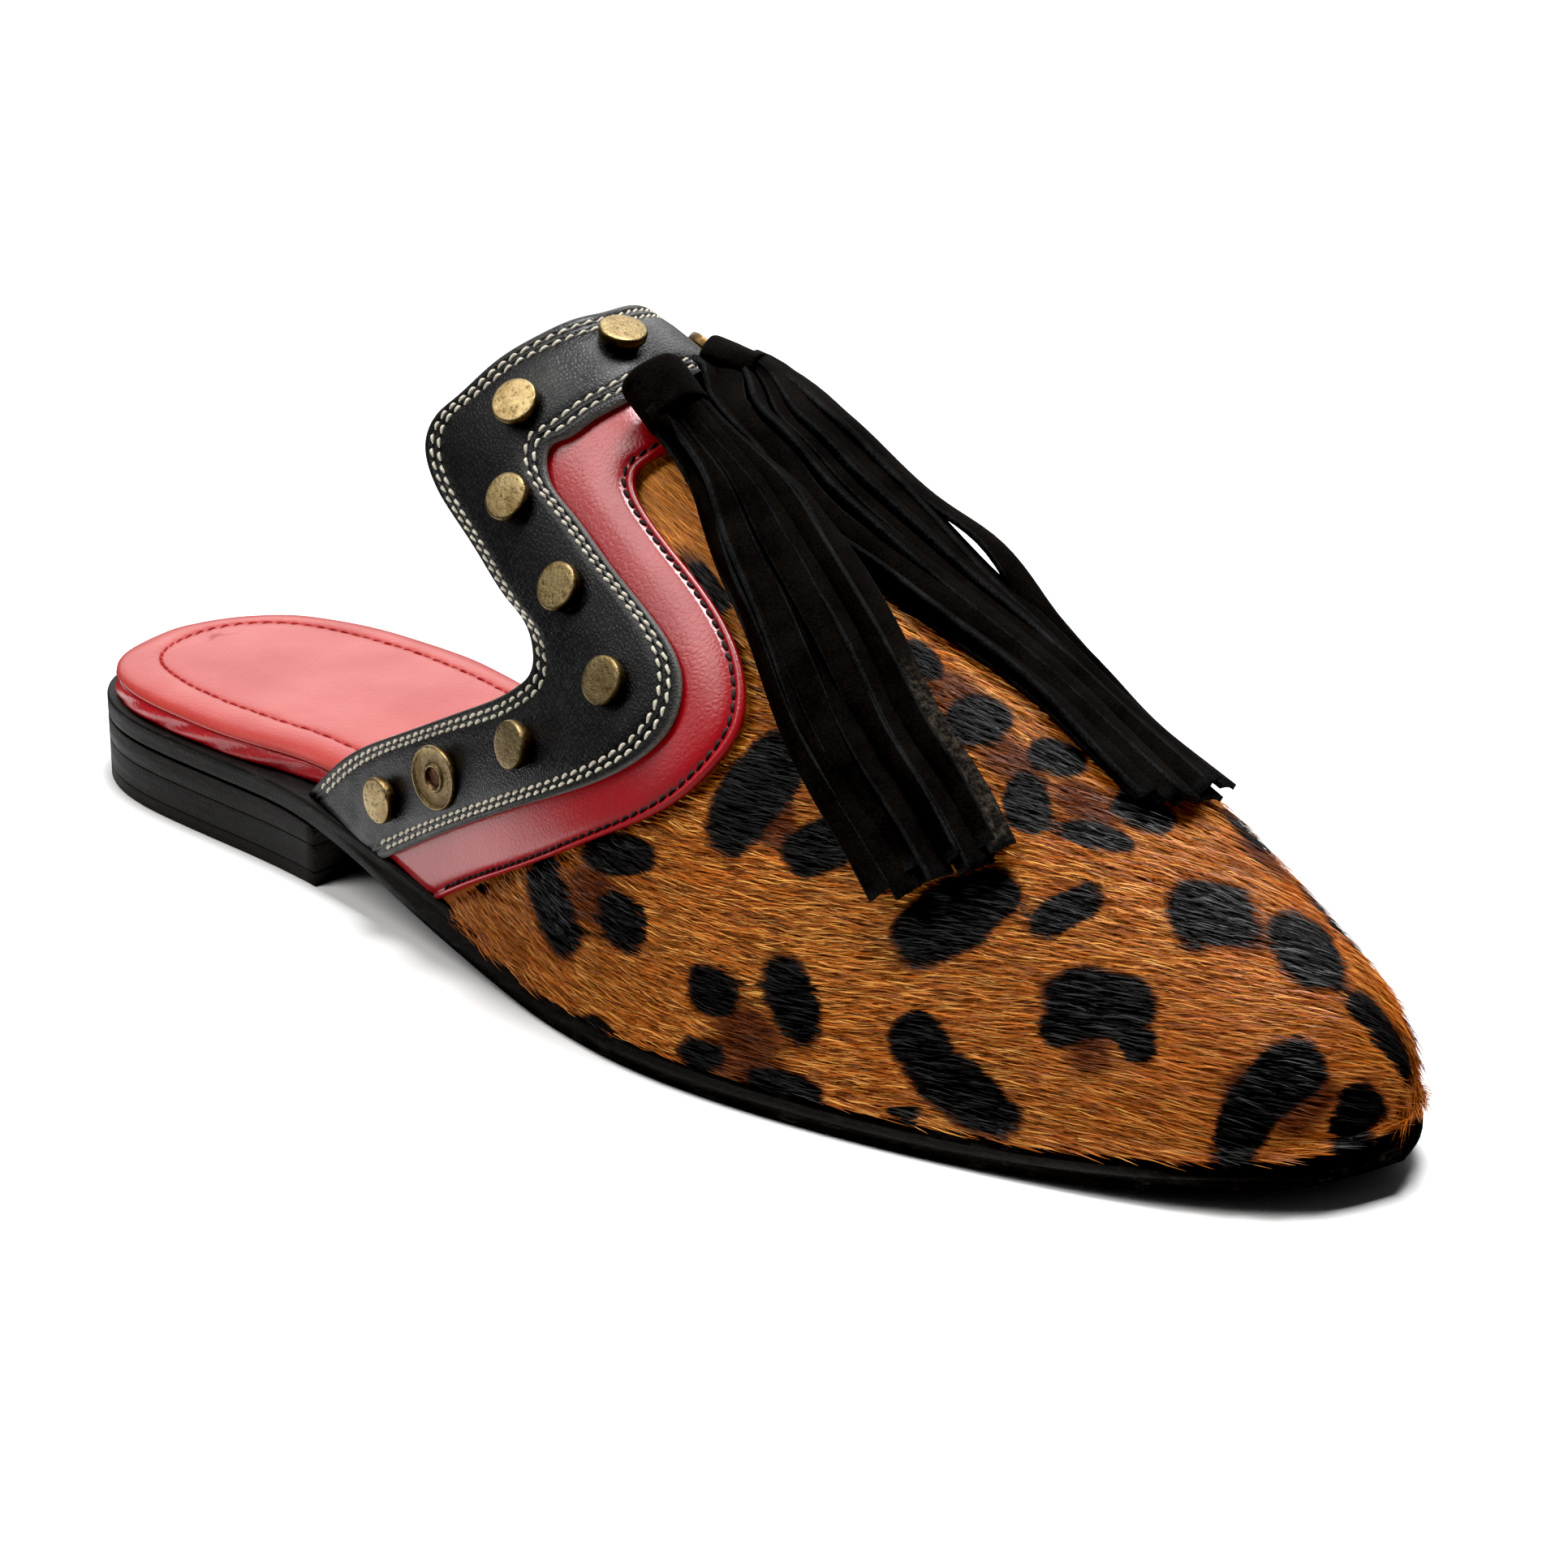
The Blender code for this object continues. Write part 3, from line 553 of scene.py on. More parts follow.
def coatGroup():
    group, given, result = newGroup(
        "printedCoat",
        [("Vector", "Vector", None), ("Spot", "Float", 0.0), ("Rust", "Float", 0.0), ("Tone", "Float", 0.5),
         ("Tip", "Float", 0.5)],
        [("Color", "Color"), ("Dark", "Float")],
    )
    patches = noiseAt(group, given["Vector"], 42.0, 3.0, 0.6)
    split = addNode(group, "ShaderNodeSeparateXYZ", {0: given["Vector"]})
    forwards, rise = split.outputs["X"], split.outputs["Z"]
    behind = spread(group, forwards, 0.045, -0.005)
    streaks = noiseAt(group, stretched(group, given["Vector"], (0.18, 1.0, 1.0)), 420.0, 2.0, 0.6)
    tan = mixColour(group, given["Tip"], coat["tanRoot"], coat["tanTip"])
    tan = mixColour(group, spread(group, patches, 0.42, 0.66, 0.0, 0.55), tan, coat["amber"])
    tan = mixColour(group, spread(group, given["Tone"], 0.7, 1.0, 0.0, 0.8), tan, coat["straw"])
    # Dark hairs by tone and dark streaks along the lay: partly random tone, partly painted shade between
    # hairs and locks
    tan = mixColour(group, spread(group, given["Tone"], 0.42, 0.0, 0.0, 0.85), tan, coat["shadow"])
    tan = mixColour(group, spread(group, streaks, 0.55, 0.75, 0.0, 0.45), tan, coat["shadow"])
    # Painted light: hair high on the instep, behind the toe, is made lighter as a painted highlight; hair low
    # near the feather is made darker as painted shade
    high = maths(group, "MULTIPLY", behind, spread(group, rise, 0.04, 0.065, 0.0, 0.7))
    tan = mixColour(group, high, tan, coat["instep"])
    low = maths(group, "MULTIPLY", behind, spread(group, rise, 0.045, 0.018, 0.0, 0.6))
    tan = mixColour(group, low, tan, coat["waistPaintedShade"])
    # Towards the toe the hair turns redder and darker: the redder tone is the print's, the darkening is
    # painted shade
    tan = mixColour(group, spread(group, forwards, 0.06, 0.125, 0.0, 0.4), tan, coat["toe"])
    rust = mixColour(group, given["Tone"], coat["rustDark"], coat["rustLight"])
    jitter = maths(group, "MULTIPLY", maths(group, "SUBTRACT", given["Tone"], 0.5), 0.12)
    rusty = spread(group, maths(group, "ADD", given["Rust"], jitter), 0.25, 0.75, 0.0, 0.92)
    black = mixColour(group, given["Tone"], coat["spotDark"], coat["spotLight"])
    spotted = spread(group, maths(group, "ADD", given["Spot"], jitter), 0.46, 0.56)
    group.links.new(mixColour(group, spotted, mixColour(group, rusty, tan, rust), black), result["Color"])
    group.links.new(spotted, result["Dark"])
    return group


def napGroup():
    group, given, result = newGroup(
        "suedeNap",
        [("Vector", "Vector", None), ("Fibres", "Float", 2600.0)],
        [("Height", "Float"), ("Brushed", "Float")],
    )
    fibres = noiseAt(group, given["Vector"], given["Fibres"], 3.0, 0.7)
    brushed = noiseAt(group, given["Vector"], 150.0, 3.0, 0.6)
    group.links.new(maths(group, "ADD", fibres, maths(group, "MULTIPLY", brushed, 0.5)), result["Height"])
    group.links.new(spread(group, maths(group, "MULTIPLY", fibres, brushed), 0.15, 0.4), result["Brushed"])
    return group


coat = {  # linear colours of the printed hair, some of them painted light: a painted highlight high on the instep, painted shade low at the waist and between hairs, and a redder tone with painted shade at the toe
    "tanRoot": (0.20, 0.044, 0.003),
    "tanTip": (0.74, 0.208, 0.016),
    "amber": (0.72, 0.158, 0.007),
    "straw": (1.0, 0.51, 0.11),
    "instep": (0.95, 0.37, 0.065),
    "toe": (0.40, 0.080, 0.009),
    "waistPaintedShade": (0.26, 0.066, 0.012),
    "shadow": (0.055, 0.011, 0.002),
    "rustDark": (0.050, 0.008, 0.002),
    "rustLight": (0.15, 0.028, 0.005),
    "spotDark": (0.0026, 0.0023, 0.0023),
    "spotLight": (0.0105, 0.0098, 0.0098),
}
leatherGrain = grainGroup()
scuffs = scuffGroup()
printedCoat = coatGroup()
suedeNap = napGroup()
print("shared effects ready")


# Finishes
def hairFinish():
    material, tree, shader, place = newMaterial(
        "printedHair", {"Roughness": 0.42, "Specular IOR Level": 0.22},
    )
    coatNode = placeGroup(tree, printedCoat, {
        "Vector": place, "Spot": mark(tree, "spot"), "Rust": mark(tree, "rust"), "Tone": mark(tree, "tone"),
        "Tip": mark(tree, "tip"),
    })
    feed(tree, shader, Base_Color=coatNode["Color"])
    return material


def hideFinish():
    material, tree, shader, place = newMaterial("hideSkin", {"Roughness": 0.7, "Specular IOR Level": 0.2})
    fibre = noiseAt(tree, stretched(tree, place, (0.2, 1.0, 1.0)), 2200.0, 2.0)
    coatNode = placeGroup(tree, printedCoat, {
        "Vector": place, "Spot": mark(tree, "spot"), "Rust": mark(tree, "rust"), "Tone": fibre, "Tip": 0.2,
    })
    feed(tree, shader, Base_Color=coatNode["Color"])
    bumpInto(tree, shader, fibre, 0.2)
    return material


def blackLeatherFinish():
    material, tree, shader, place = newMaterial(
        "blackLeather", {"Specular IOR Level": 0.26, "Coat Roughness": 0.3},
    )
    grain = placeGroup(tree, leatherGrain, {"Vector": place, "Cells": 1500.0, "Wrinkle": 90.0})
    wear = placeGroup(tree, scuffs, {"Vector": place, "Marks": 260.0, "Amount": 0.5})
    face = mixColour(tree, grain["Valley"], (0.0046, 0.0046, 0.0050), (0.0012, 0.0012, 0.0013))
    worn = mixColour(tree, wear["Mask"], face, (0.022, 0.022, 0.023))
    fibres = noiseAt(tree, place, 1500.0, 3.0, 0.7)
    raw = mixColour(tree, fibres, (0.018, 0.016, 0.015), (0.17, 0.155, 0.14))
    feed(
        tree, shader, Base_Color=mixColour(tree, mark(tree, "cut"), worn, raw),
        Roughness=spread(tree, grain["Blotch"], 0.0, 1.0, 0.37, 0.5),
        Coat_Weight=spread(tree, grain["Blotch"], 0.0, 1.0, 0.21, 0.05),
    )
    bumpInto(tree, shader, grain["Height"], 0.1, 0.8)
    return material


def redLeatherFinish(name, colour, deep, cells, roughness, depth, pores, gloss):
    material, tree, shader, place = newMaterial(name, {"Specular IOR Level": gloss, "Coat Roughness": 0.22})
    grain = placeGroup(tree, leatherGrain, {"Vector": place, "Cells": cells, "Wrinkle": 55.0})
    wear = placeGroup(tree, scuffs, {"Vector": place, "Marks": 170.0, "Amount": 0.45})
    face = mixColour(tree, grain["Blotch"], colour, deep)
    face = mixColour(tree, maths(tree, "MULTIPLY", grain["Valley"], pores), face, deep)
    face = mixColour(tree, wear["Mask"], face, deep)
    edge = mixColour(tree, noiseAt(tree, place, 1400.0, 2.0), deep, (0.02, 0.004, 0.004))
    feed(
        tree, shader, Base_Color=mixColour(tree, mark(tree, "cut"), face, edge),
        Roughness=spread(tree, grain["Blotch"], 0.0, 1.0, roughness, roughness + 0.09),
        Coat_Weight=spread(tree, wear["Mask"], 0.0, 1.0, gloss / 2.0, 0.05),
    )
    bumpInto(tree, shader, grain["Height"], depth, 0.7)
    return material


def liningFinish():
    material, tree, shader, place = newMaterial("lining", {"Specular IOR Level": 0.25})
    grain = placeGroup(tree, leatherGrain, {"Vector": place, "Cells": 900.0, "Wrinkle": 90.0})
    face = mixColour(tree, grain["Blotch"], (0.40, 0.31, 0.21), (0.29, 0.21, 0.135))
    feed(
        tree, shader, Base_Color=mixColour(tree, grain["Valley"], face, (0.2, 0.14, 0.09)),
        Roughness=spread(tree, grain["Blotch"], 0.0, 1.0, 0.62, 0.78),
    )
    bumpInto(tree, shader, grain["Height"], 0.1, 0.6)
    return material


def threadFinish(name, light, dark):
    material, tree, shader, place = newMaterial(name, {"Roughness": 0.62, "Specular IOR Level": 0.3})
    fuzz = noiseAt(tree, place, 2400.0, 3.0, 0.7)
    feed(tree, shader, Base_Color=mixColour(tree, spread(tree, fuzz, 0.35, 0.7), light, dark))
    bumpInto(tree, shader, fuzz, 0.12)
    return material


def brassFinish():
    material, tree, shader, place = newMaterial("agedBrass", {"Metallic": 1.0})
    pits = noiseAt(tree, place, 1500.0, 4.0, 0.65)
    broad = noiseAt(tree, place, 260.0, 3.0, 0.6)
    wear = placeGroup(tree, scuffs, {"Vector": place, "Marks": 500.0, "Amount": 0.7})
    top = mixColour(tree, spread(tree, broad, 0.36, 0.62), (0.21, 0.140, 0.055), (0.36, 0.270, 0.130))
    top = mixColour(tree, spread(tree, pits, 0.44, 0.34), top, (0.085, 0.052, 0.020))
    top = mixColour(tree, wear["Mask"], top, (0.50, 0.41, 0.24))
    side = mixColour(tree, broad, (0.060, 0.034, 0.012), (0.19, 0.118, 0.046))
    copper = mixColour(tree, pits, (0.045, 0.018, 0.010), (0.13, 0.058, 0.030))
    worn = mixColour(tree, mark(tree, "side"), top, side)
    feed(
        tree, shader, Base_Color=mixColour(tree, mark(tree, "copper"), worn, copper),
        Roughness=spread(tree, pits, 0.3, 0.7, 0.5, 0.32),
    )
    bumpInto(tree, shader, maths(tree, "ADD", pits, broad), 0.14, 0.8)
    return material


def suedeFinish():
    material, tree, shader, place = newMaterial(
        "blackSuede",
        {"Roughness": 0.95, "Specular IOR Level": 0.05, "Sheen Weight": 0.015, "Sheen Roughness": 0.45,
         "Sheen Tint": (0.55, 0.42, 0.34, 1.0)},
    )
    nap = placeGroup(tree, suedeNap, {"Vector": place, "Fibres": 2400.0})
    face = mixColour(tree, nap["Brushed"], (0.0010, 0.0008, 0.0007), (0.0050, 0.0038, 0.0032))
    rough = noiseAt(tree, place, 1100.0, 4.0, 0.75)
    reverse = mixColour(tree, spread(tree, rough, 0.45, 0.7), (0.006, 0.005, 0.0045), (0.06, 0.048, 0.036))
    face = mixColour(tree, mark(tree, "reverse"), face, reverse)
    edge = mixColour(tree, nap["Brushed"], (0.003, 0.0031, 0.0033), (0.018, 0.0184, 0.0194))
    feed(tree, shader, Base_Color=mixColour(tree, mark(tree, "cut"), face, edge))
    bumpInto(tree, shader, nap["Height"], 0.16, 0.8)
    return material


def soleFinish(name, colour, pale, roughness, layerScale):
    material, tree, shader, place = newMaterial(name, {"Specular IOR Level": 0.08, "Coat Roughness": 0.4})
    wear = placeGroup(tree, scuffs, {"Vector": place, "Marks": 130.0, "Amount": 0.55})
    grain = placeGroup(tree, leatherGrain, {"Vector": place, "Cells": 1300.0, "Wrinkle": 45.0})
    layers = noiseAt(tree, stretched(tree, place, (0.05, 0.05, 1.0)), layerScale, 3.0, 0.65)
    face = mixColour(tree, spread(tree, layers, 0.35, 0.7), colour, pale)
    feed(
        tree, shader, Base_Color=mixColour(tree, wear["Mask"], face, (0.04, 0.033, 0.027)),
        Roughness=spread(tree, layers, 0.3, 0.7, roughness - 0.07, roughness + 0.12),
        Coat_Weight=spread(tree, grain["Blotch"], 0.0, 1.0, 0.07, 0.0),
    )
    pebble = maths(tree, "MULTIPLY", grain["Height"], 0.4)
    height = maths(tree, "ADD", maths(tree, "MULTIPLY", layers, 0.7), pebble)
    bumpInto(tree, shader, maths(tree, "ADD", height, wear["Height"]), 0.16, 0.7)
    return material


finishes = {
    "hair": hairFinish(),
    "hide": hideFinish(),
    "blackLeather": blackLeatherFinish(),
    "band": redLeatherFinish(
        "redBand", (0.31, 0.0015, 0.006), (0.26, 0.0012, 0.0048), 1100.0, 0.27, 0.045, 0.2, 0.54,
    ),
    "sock": redLeatherFinish(
        "redSock", (0.37, 0.032, 0.025), (0.315, 0.021, 0.017), 900.0, 0.4, 0.05, 0.2, 0.38,
    ),
    "rim": redLeatherFinish(
        "redRim", (0.40, 0.005, 0.010), (0.27, 0.003, 0.007), 800.0, 0.28, 0.08, 0.4, 0.5,
    ),
    "lining": liningFinish(),
    "cream": threadFinish("creamThread", (0.66, 0.61, 0.50), (0.36, 0.32, 0.25)),
    "blackThread": threadFinish("blackThread", (0.012, 0.007, 0.007), (0.004, 0.003, 0.003)),
    "redThread": threadFinish("redThread", (0.42, 0.020, 0.020), (0.22, 0.008, 0.009)),
    "brass": brassFinish(),
    "suede": suedeFinish(),
    "sole": soleFinish("soleEdge", (0.0024, 0.0021, 0.0019), (0.0052, 0.0043, 0.0036), 0.5, 900.0),
    "lift": soleFinish("stackedLift", (0.0018, 0.0015, 0.0013), (0.0060, 0.0050, 0.0042), 0.55, 700.0),
    "topPiece": soleFinish("heelTopPiece", (0.0028, 0.0025, 0.0022), (0.0062, 0.0054, 0.0048), 0.6, 500.0),
    "skin": threadFinish("cutSkin", (0.56, 0.45, 0.31), (0.28, 0.19, 0.11)),
}
print("finishes:", len(finishes))


# Sole, heel and footbed from rings in plan
def planStations(end, step, roundSteps):
    heelRound = 14.0
    toeRound = 24.0
    turn = np.linspace(0.0, np.pi / 2.0, roundSteps + 1)
    heel = heelRound * (1.0 - np.cos(turn))
    if end < lastShape["length"]:
        count = int((end - heelRound) / step) + 1
        return np.concatenate([heel, np.linspace(heelRound, end, count + 1)[1:]])
    toe = end - toeRound * (1.0 - np.cos(turn[::-1]))
    count = int((toe[0] - heelRound) / step) + 1
    return np.concatenate([heel, np.linspace(heelRound, toe[0], count + 1)[1:-1], toe])


def planRing(inset, stations):
    sides = []
    for side in (-1.0, 1.0):
        line, moved = halfPlan(side, inset)
        sides.append(np.stack([np.interp(stations, line[:, 0], moved[:, i]) for i in (0, 1)], axis=1))
    outer, inner = sides
    closes = stations[-1] >= lastShape["length"]
    return np.concatenate([outer, inner[-2 if closes else -1:0:-1]])


# Rings that close a layer towards its middle line
def closeIn(ring, shares):
    partner = ring[(-np.arange(len(ring))) % len(ring)]
    middle = (ring + partner) / 2.0
    return [between(ring, middle, share) for share in shares]


def layerRings(edge, low, high, inset, stations):
    rings = []
    for rise, step, *groove in edge:
        depth = sum(groove)
        plan = planRing(lambda x: inset(x) + step + depth * ramp(x, *soleStack["grooveFade"]), stations)
        bottom = low(plan[:, 0])
        rings.append(np.column_stack([plan, between(bottom, high(plan[:, 0]), rise)]))
    return rings


def ringMesh(name, rings, marks=None):
    faces = gridQuads(len(rings), len(rings[0]), closed=True).tolist()
    return makeMesh(name, np.concatenate(rings), faces, marks)


def closedLayer(name, rings):
    shares = soleStack["closing"]
    return ringMesh(name, closeIn(rings[0], shares)[::-1] + rings + closeIn(rings[-1], shares))


soleStack = {
    "closing": (0.35, 0.7, 1.0),  # rings that close a layer, as shares of the way to its middle line
    "stations": (2.4, 16),  # step along the sides, steps round each end
    "breast": 73.5,
    "topPiece": (0.0, 2.3),
    "lowerLift": (2.32, 6.92),
    "upperLift": (6.94, 10.76),
    "grooveFade": (76.0, 112.0),
    "soleEdge": (  # rise, inset, groove if any
        (0.00, 0.9), (0.03, 0.45), (0.10, 0.1), (0.2, 0.0), (0.43, 0.0),
        (0.47, 0.0, 0.3), (0.50, 0.0, 0.6), (0.54, 0.0, 0.9), (0.57, 0.0, 1.2), (0.61, 0.0, 1.4),
        (0.86, 0.0, 1.4), (0.95, 0.12, 1.4), (1.00, 0.55, 1.4),
    ),
    "liftEdge": (
        (0.0, 0.12), (0.02, 0.03), (0.05, 0.0), (0.5, 0.0), (0.95, 0.0), (0.98, 0.03), (1.0, 0.12),
    ),
}


def buildSole():
    flush = lambda x: 0.0 * x
    under = lambda x: featherHeight(x) - soleThickness(x)
    whole = planStations(lastShape["length"], *soleStack["stations"])
    rings = layerRings(soleStack["soleEdge"], under, featherHeight, flush, whole)
    addPiece("outsole_shaped", closedLayer("outsole_shaped", rings), finishes["sole"], ["outsole"])
    heel = planStations(soleStack["breast"], *soleStack["stations"])
    seat = lambda x: under(x) - 0.05
    layers = (  # name, sizes, finish, slot, solid it stands for
        ("heel_top_shaped", "topPiece", "topPiece", "top_piece", "heel_top_piece"),
        ("heel_lower_shaped", "lowerLift", "lift", "sole", "heel_lift_lower"),
        ("heel_upper_shaped", "upperLift", "lift", "sole", "heel_lift_upper"),
    )
    for name, sizes, finish, slotName, node in layers:
        bottom, top = soleStack[sizes]
        low = lambda x: bottom + 0.0 * x
        high = lambda x: np.minimum(top, seat(x))
        rings = layerRings(soleStack["liftEdge"], low, high, flush, heel)
        addPiece(name, closedLayer(name, rings), finishes[finish], [node])
    print("sole and heel built")


buildSole()

footbed = {
    "stations": (1.6, 22),
    "rimThickness": 2.9,
    "padThickness": 2.5,
    "thin": (130.0, 215.0, 0.45),  # from, to, share of the thickness left under the toes
    "insetSeat": 1.3,
    "insetInside": (4.1, 44.0, 78.0),
    "insetToe": (3.6, 205.0, 260.6),
    "stitchInset": 7.0,
    "stitchPitch": 2.5,
    "puckerDepth": 0.1,
    "puckerReach": 1.5,
    "evening": 12.0,  # passes per millimetre from the edge
    "unevenness": (0.16, 0.25),  # of the rolled edge, of the middle
    "toeSqueeze": (196.0, 258.0, 0.12),  # the sewn edge narrows towards the toe
    "rimEdge": (
        (0.0, 0.7), (0.05, 0.3), (0.15, 0.08), (0.35, 0.0), (0.6, 0.08), (0.82, 0.25), (0.94, 0.42),
        (1.0, 0.8),
    ),
    "padEdge": (
        (0.0, 0.95), (0.05, 0.55), (0.14, 0.42), (0.28, 0.5), (0.42, 0.75), (0.56, 1.15), (0.69, 1.7),
        (0.8, 2.4), (0.9, 3.3), (0.97, 4.3), (1.0, 5.3), (0.99, 6.1), (0.94, 6.55), (0.87, 6.85),
        (0.83, 7.0), (0.87, 7.15), (0.94, 7.45), (1.0, 8.1), (1.03, 9.5), (1.05, 12.0),
    ),
    "creaseLean": 0.004,
    "rimCreases": (  # place round the ring as a share, width, depth
        (0.03, 0.006, 0.5), (0.055, 0.004, 0.35), (0.08, 0.005, 0.55), (0.105, 0.007, 0.6),
        (0.13, 0.004, 0.45), (0.15, 0.005, 0.6), (0.172, 0.004, 0.4), (0.19, 0.006, 0.6),
        (0.21, 0.004, 0.45), (0.23, 0.005, 0.5), (0.80, 0.006, 0.4), (0.85, 0.005, 0.4),
        (0.90, 0.007, 0.5), (0.955, 0.005, 0.4),
    ),
}


def footbedInset(x):
    inside, start, end = footbed["insetInside"]
    toe, toeStart, toeEnd = footbed["insetToe"]
    return footbed["insetSeat"] + inside * ramp(x, start, end) + toe * ramp(x, toeStart, toeEnd)


def footbedShare(x):
    start, end, left = footbed["thin"]
    return 1.0 - (1.0 - left) * ramp(x, start, end)


def ringLength(ring):
    return np.concatenate([[0.0], np.cumsum(np.linalg.norm(np.diff(ring, axis=0), axis=1))])


def buildFootbed():
    stations = planStations(lastShape["length"], *footbed["stations"])
    rimLow = lambda x: featherHeight(x) + 0.1
    rimHigh = lambda x: rimLow(x) + footbed["rimThickness"] * footbedShare(x)
    padLow = lambda x: rimHigh(x) + 0.05
    padHigh = lambda x: padLow(x) + footbed["padThickness"] * footbedShare(x)

    rim = layerRings(footbed["rimEdge"], rimLow, rimHigh, footbedInset, stations)
    place = np.linspace(0.0, 1.0, len(rim[0]))
    for level, ring in enumerate(rim[1:-1], 1):
        shift = np.zeros(len(ring))
        for spot, width, depth in footbed["rimCreases"]:
            lean = spot + footbed["creaseLean"] * level
            shift += depth * np.exp(-((place - lean) / width) ** 2)
        inward = unit(closeIn(ring, [1.0])[0] - ring + 1e-9)
        ring += inward * (shift * math.sin(math.pi * level / (len(rim) - 1)))[:, None]
    name = "footbed_rim_wrapped"
    addPiece(name, closedLayer(name, rim), finishes["rim"], ["footbed_rim"])

    start, end, left = footbed["toeSqueeze"]
    edgeWaves, middleWaves = footbed["unevenness"]
    pad = []
    for rise, step in footbed["padEdge"]:
        squeezed = lambda x: footbedInset(x) + step * (1.0 - (1.0 - left) * ramp(x, start, end))
        plan = planRing(squeezed, stations)
        for turn in range(int(footbed["evening"] * step)):  # evens out the tight bend of the heel
            plan = between(plan, (np.roll(plan, 1, axis=0) + np.roll(plan, -1, axis=0)) / 2.0, 0.5)
        bottom = padLow(plan[:, 0])
        ring = np.column_stack([plan, between(bottom, padHigh(plan[:, 0]), rise)])
        sewn = math.exp(-((step - footbed["stitchInset"]) / footbed["puckerReach"]) ** 2)
        run = ringLength(ring)
        total = run[-1] + np.linalg.norm(ring[0] - ring[-1])
        pucker = np.cos(2.0 * np.pi * run / total * round(total / footbed["stitchPitch"]))
        soft = softNoise(ring, 0.11)
        ring[:, 2] += (footbed["puckerDepth"] * pucker * sewn + edgeWaves * soft) * (rise > 0.3)
        pad.append(ring)
    shares = np.linspace(0.0, 1.0, 9)[1:]
    top = closeIn(pad[-1], shares)
    for ring, share in zip(top, shares):
        waves = softNoise(ring, 0.06)
        ring[:, 2] += middleWaves * smooth(share) * (0.6 + 0.8 * waves)
    rings = closeIn(pad[0], soleStack["closing"])[::-1] + pad + top
    name = "footbed_sock"
    sock = addPiece(name, ringMesh(name, rings), finishes["sock"], ["footbed_pad"])
    seamRow = [row[1] for row in footbed["padEdge"]].index(footbed["stitchInset"])
    print("footbed built")
    return pad[seamRow]


sewnLine = buildFootbed()


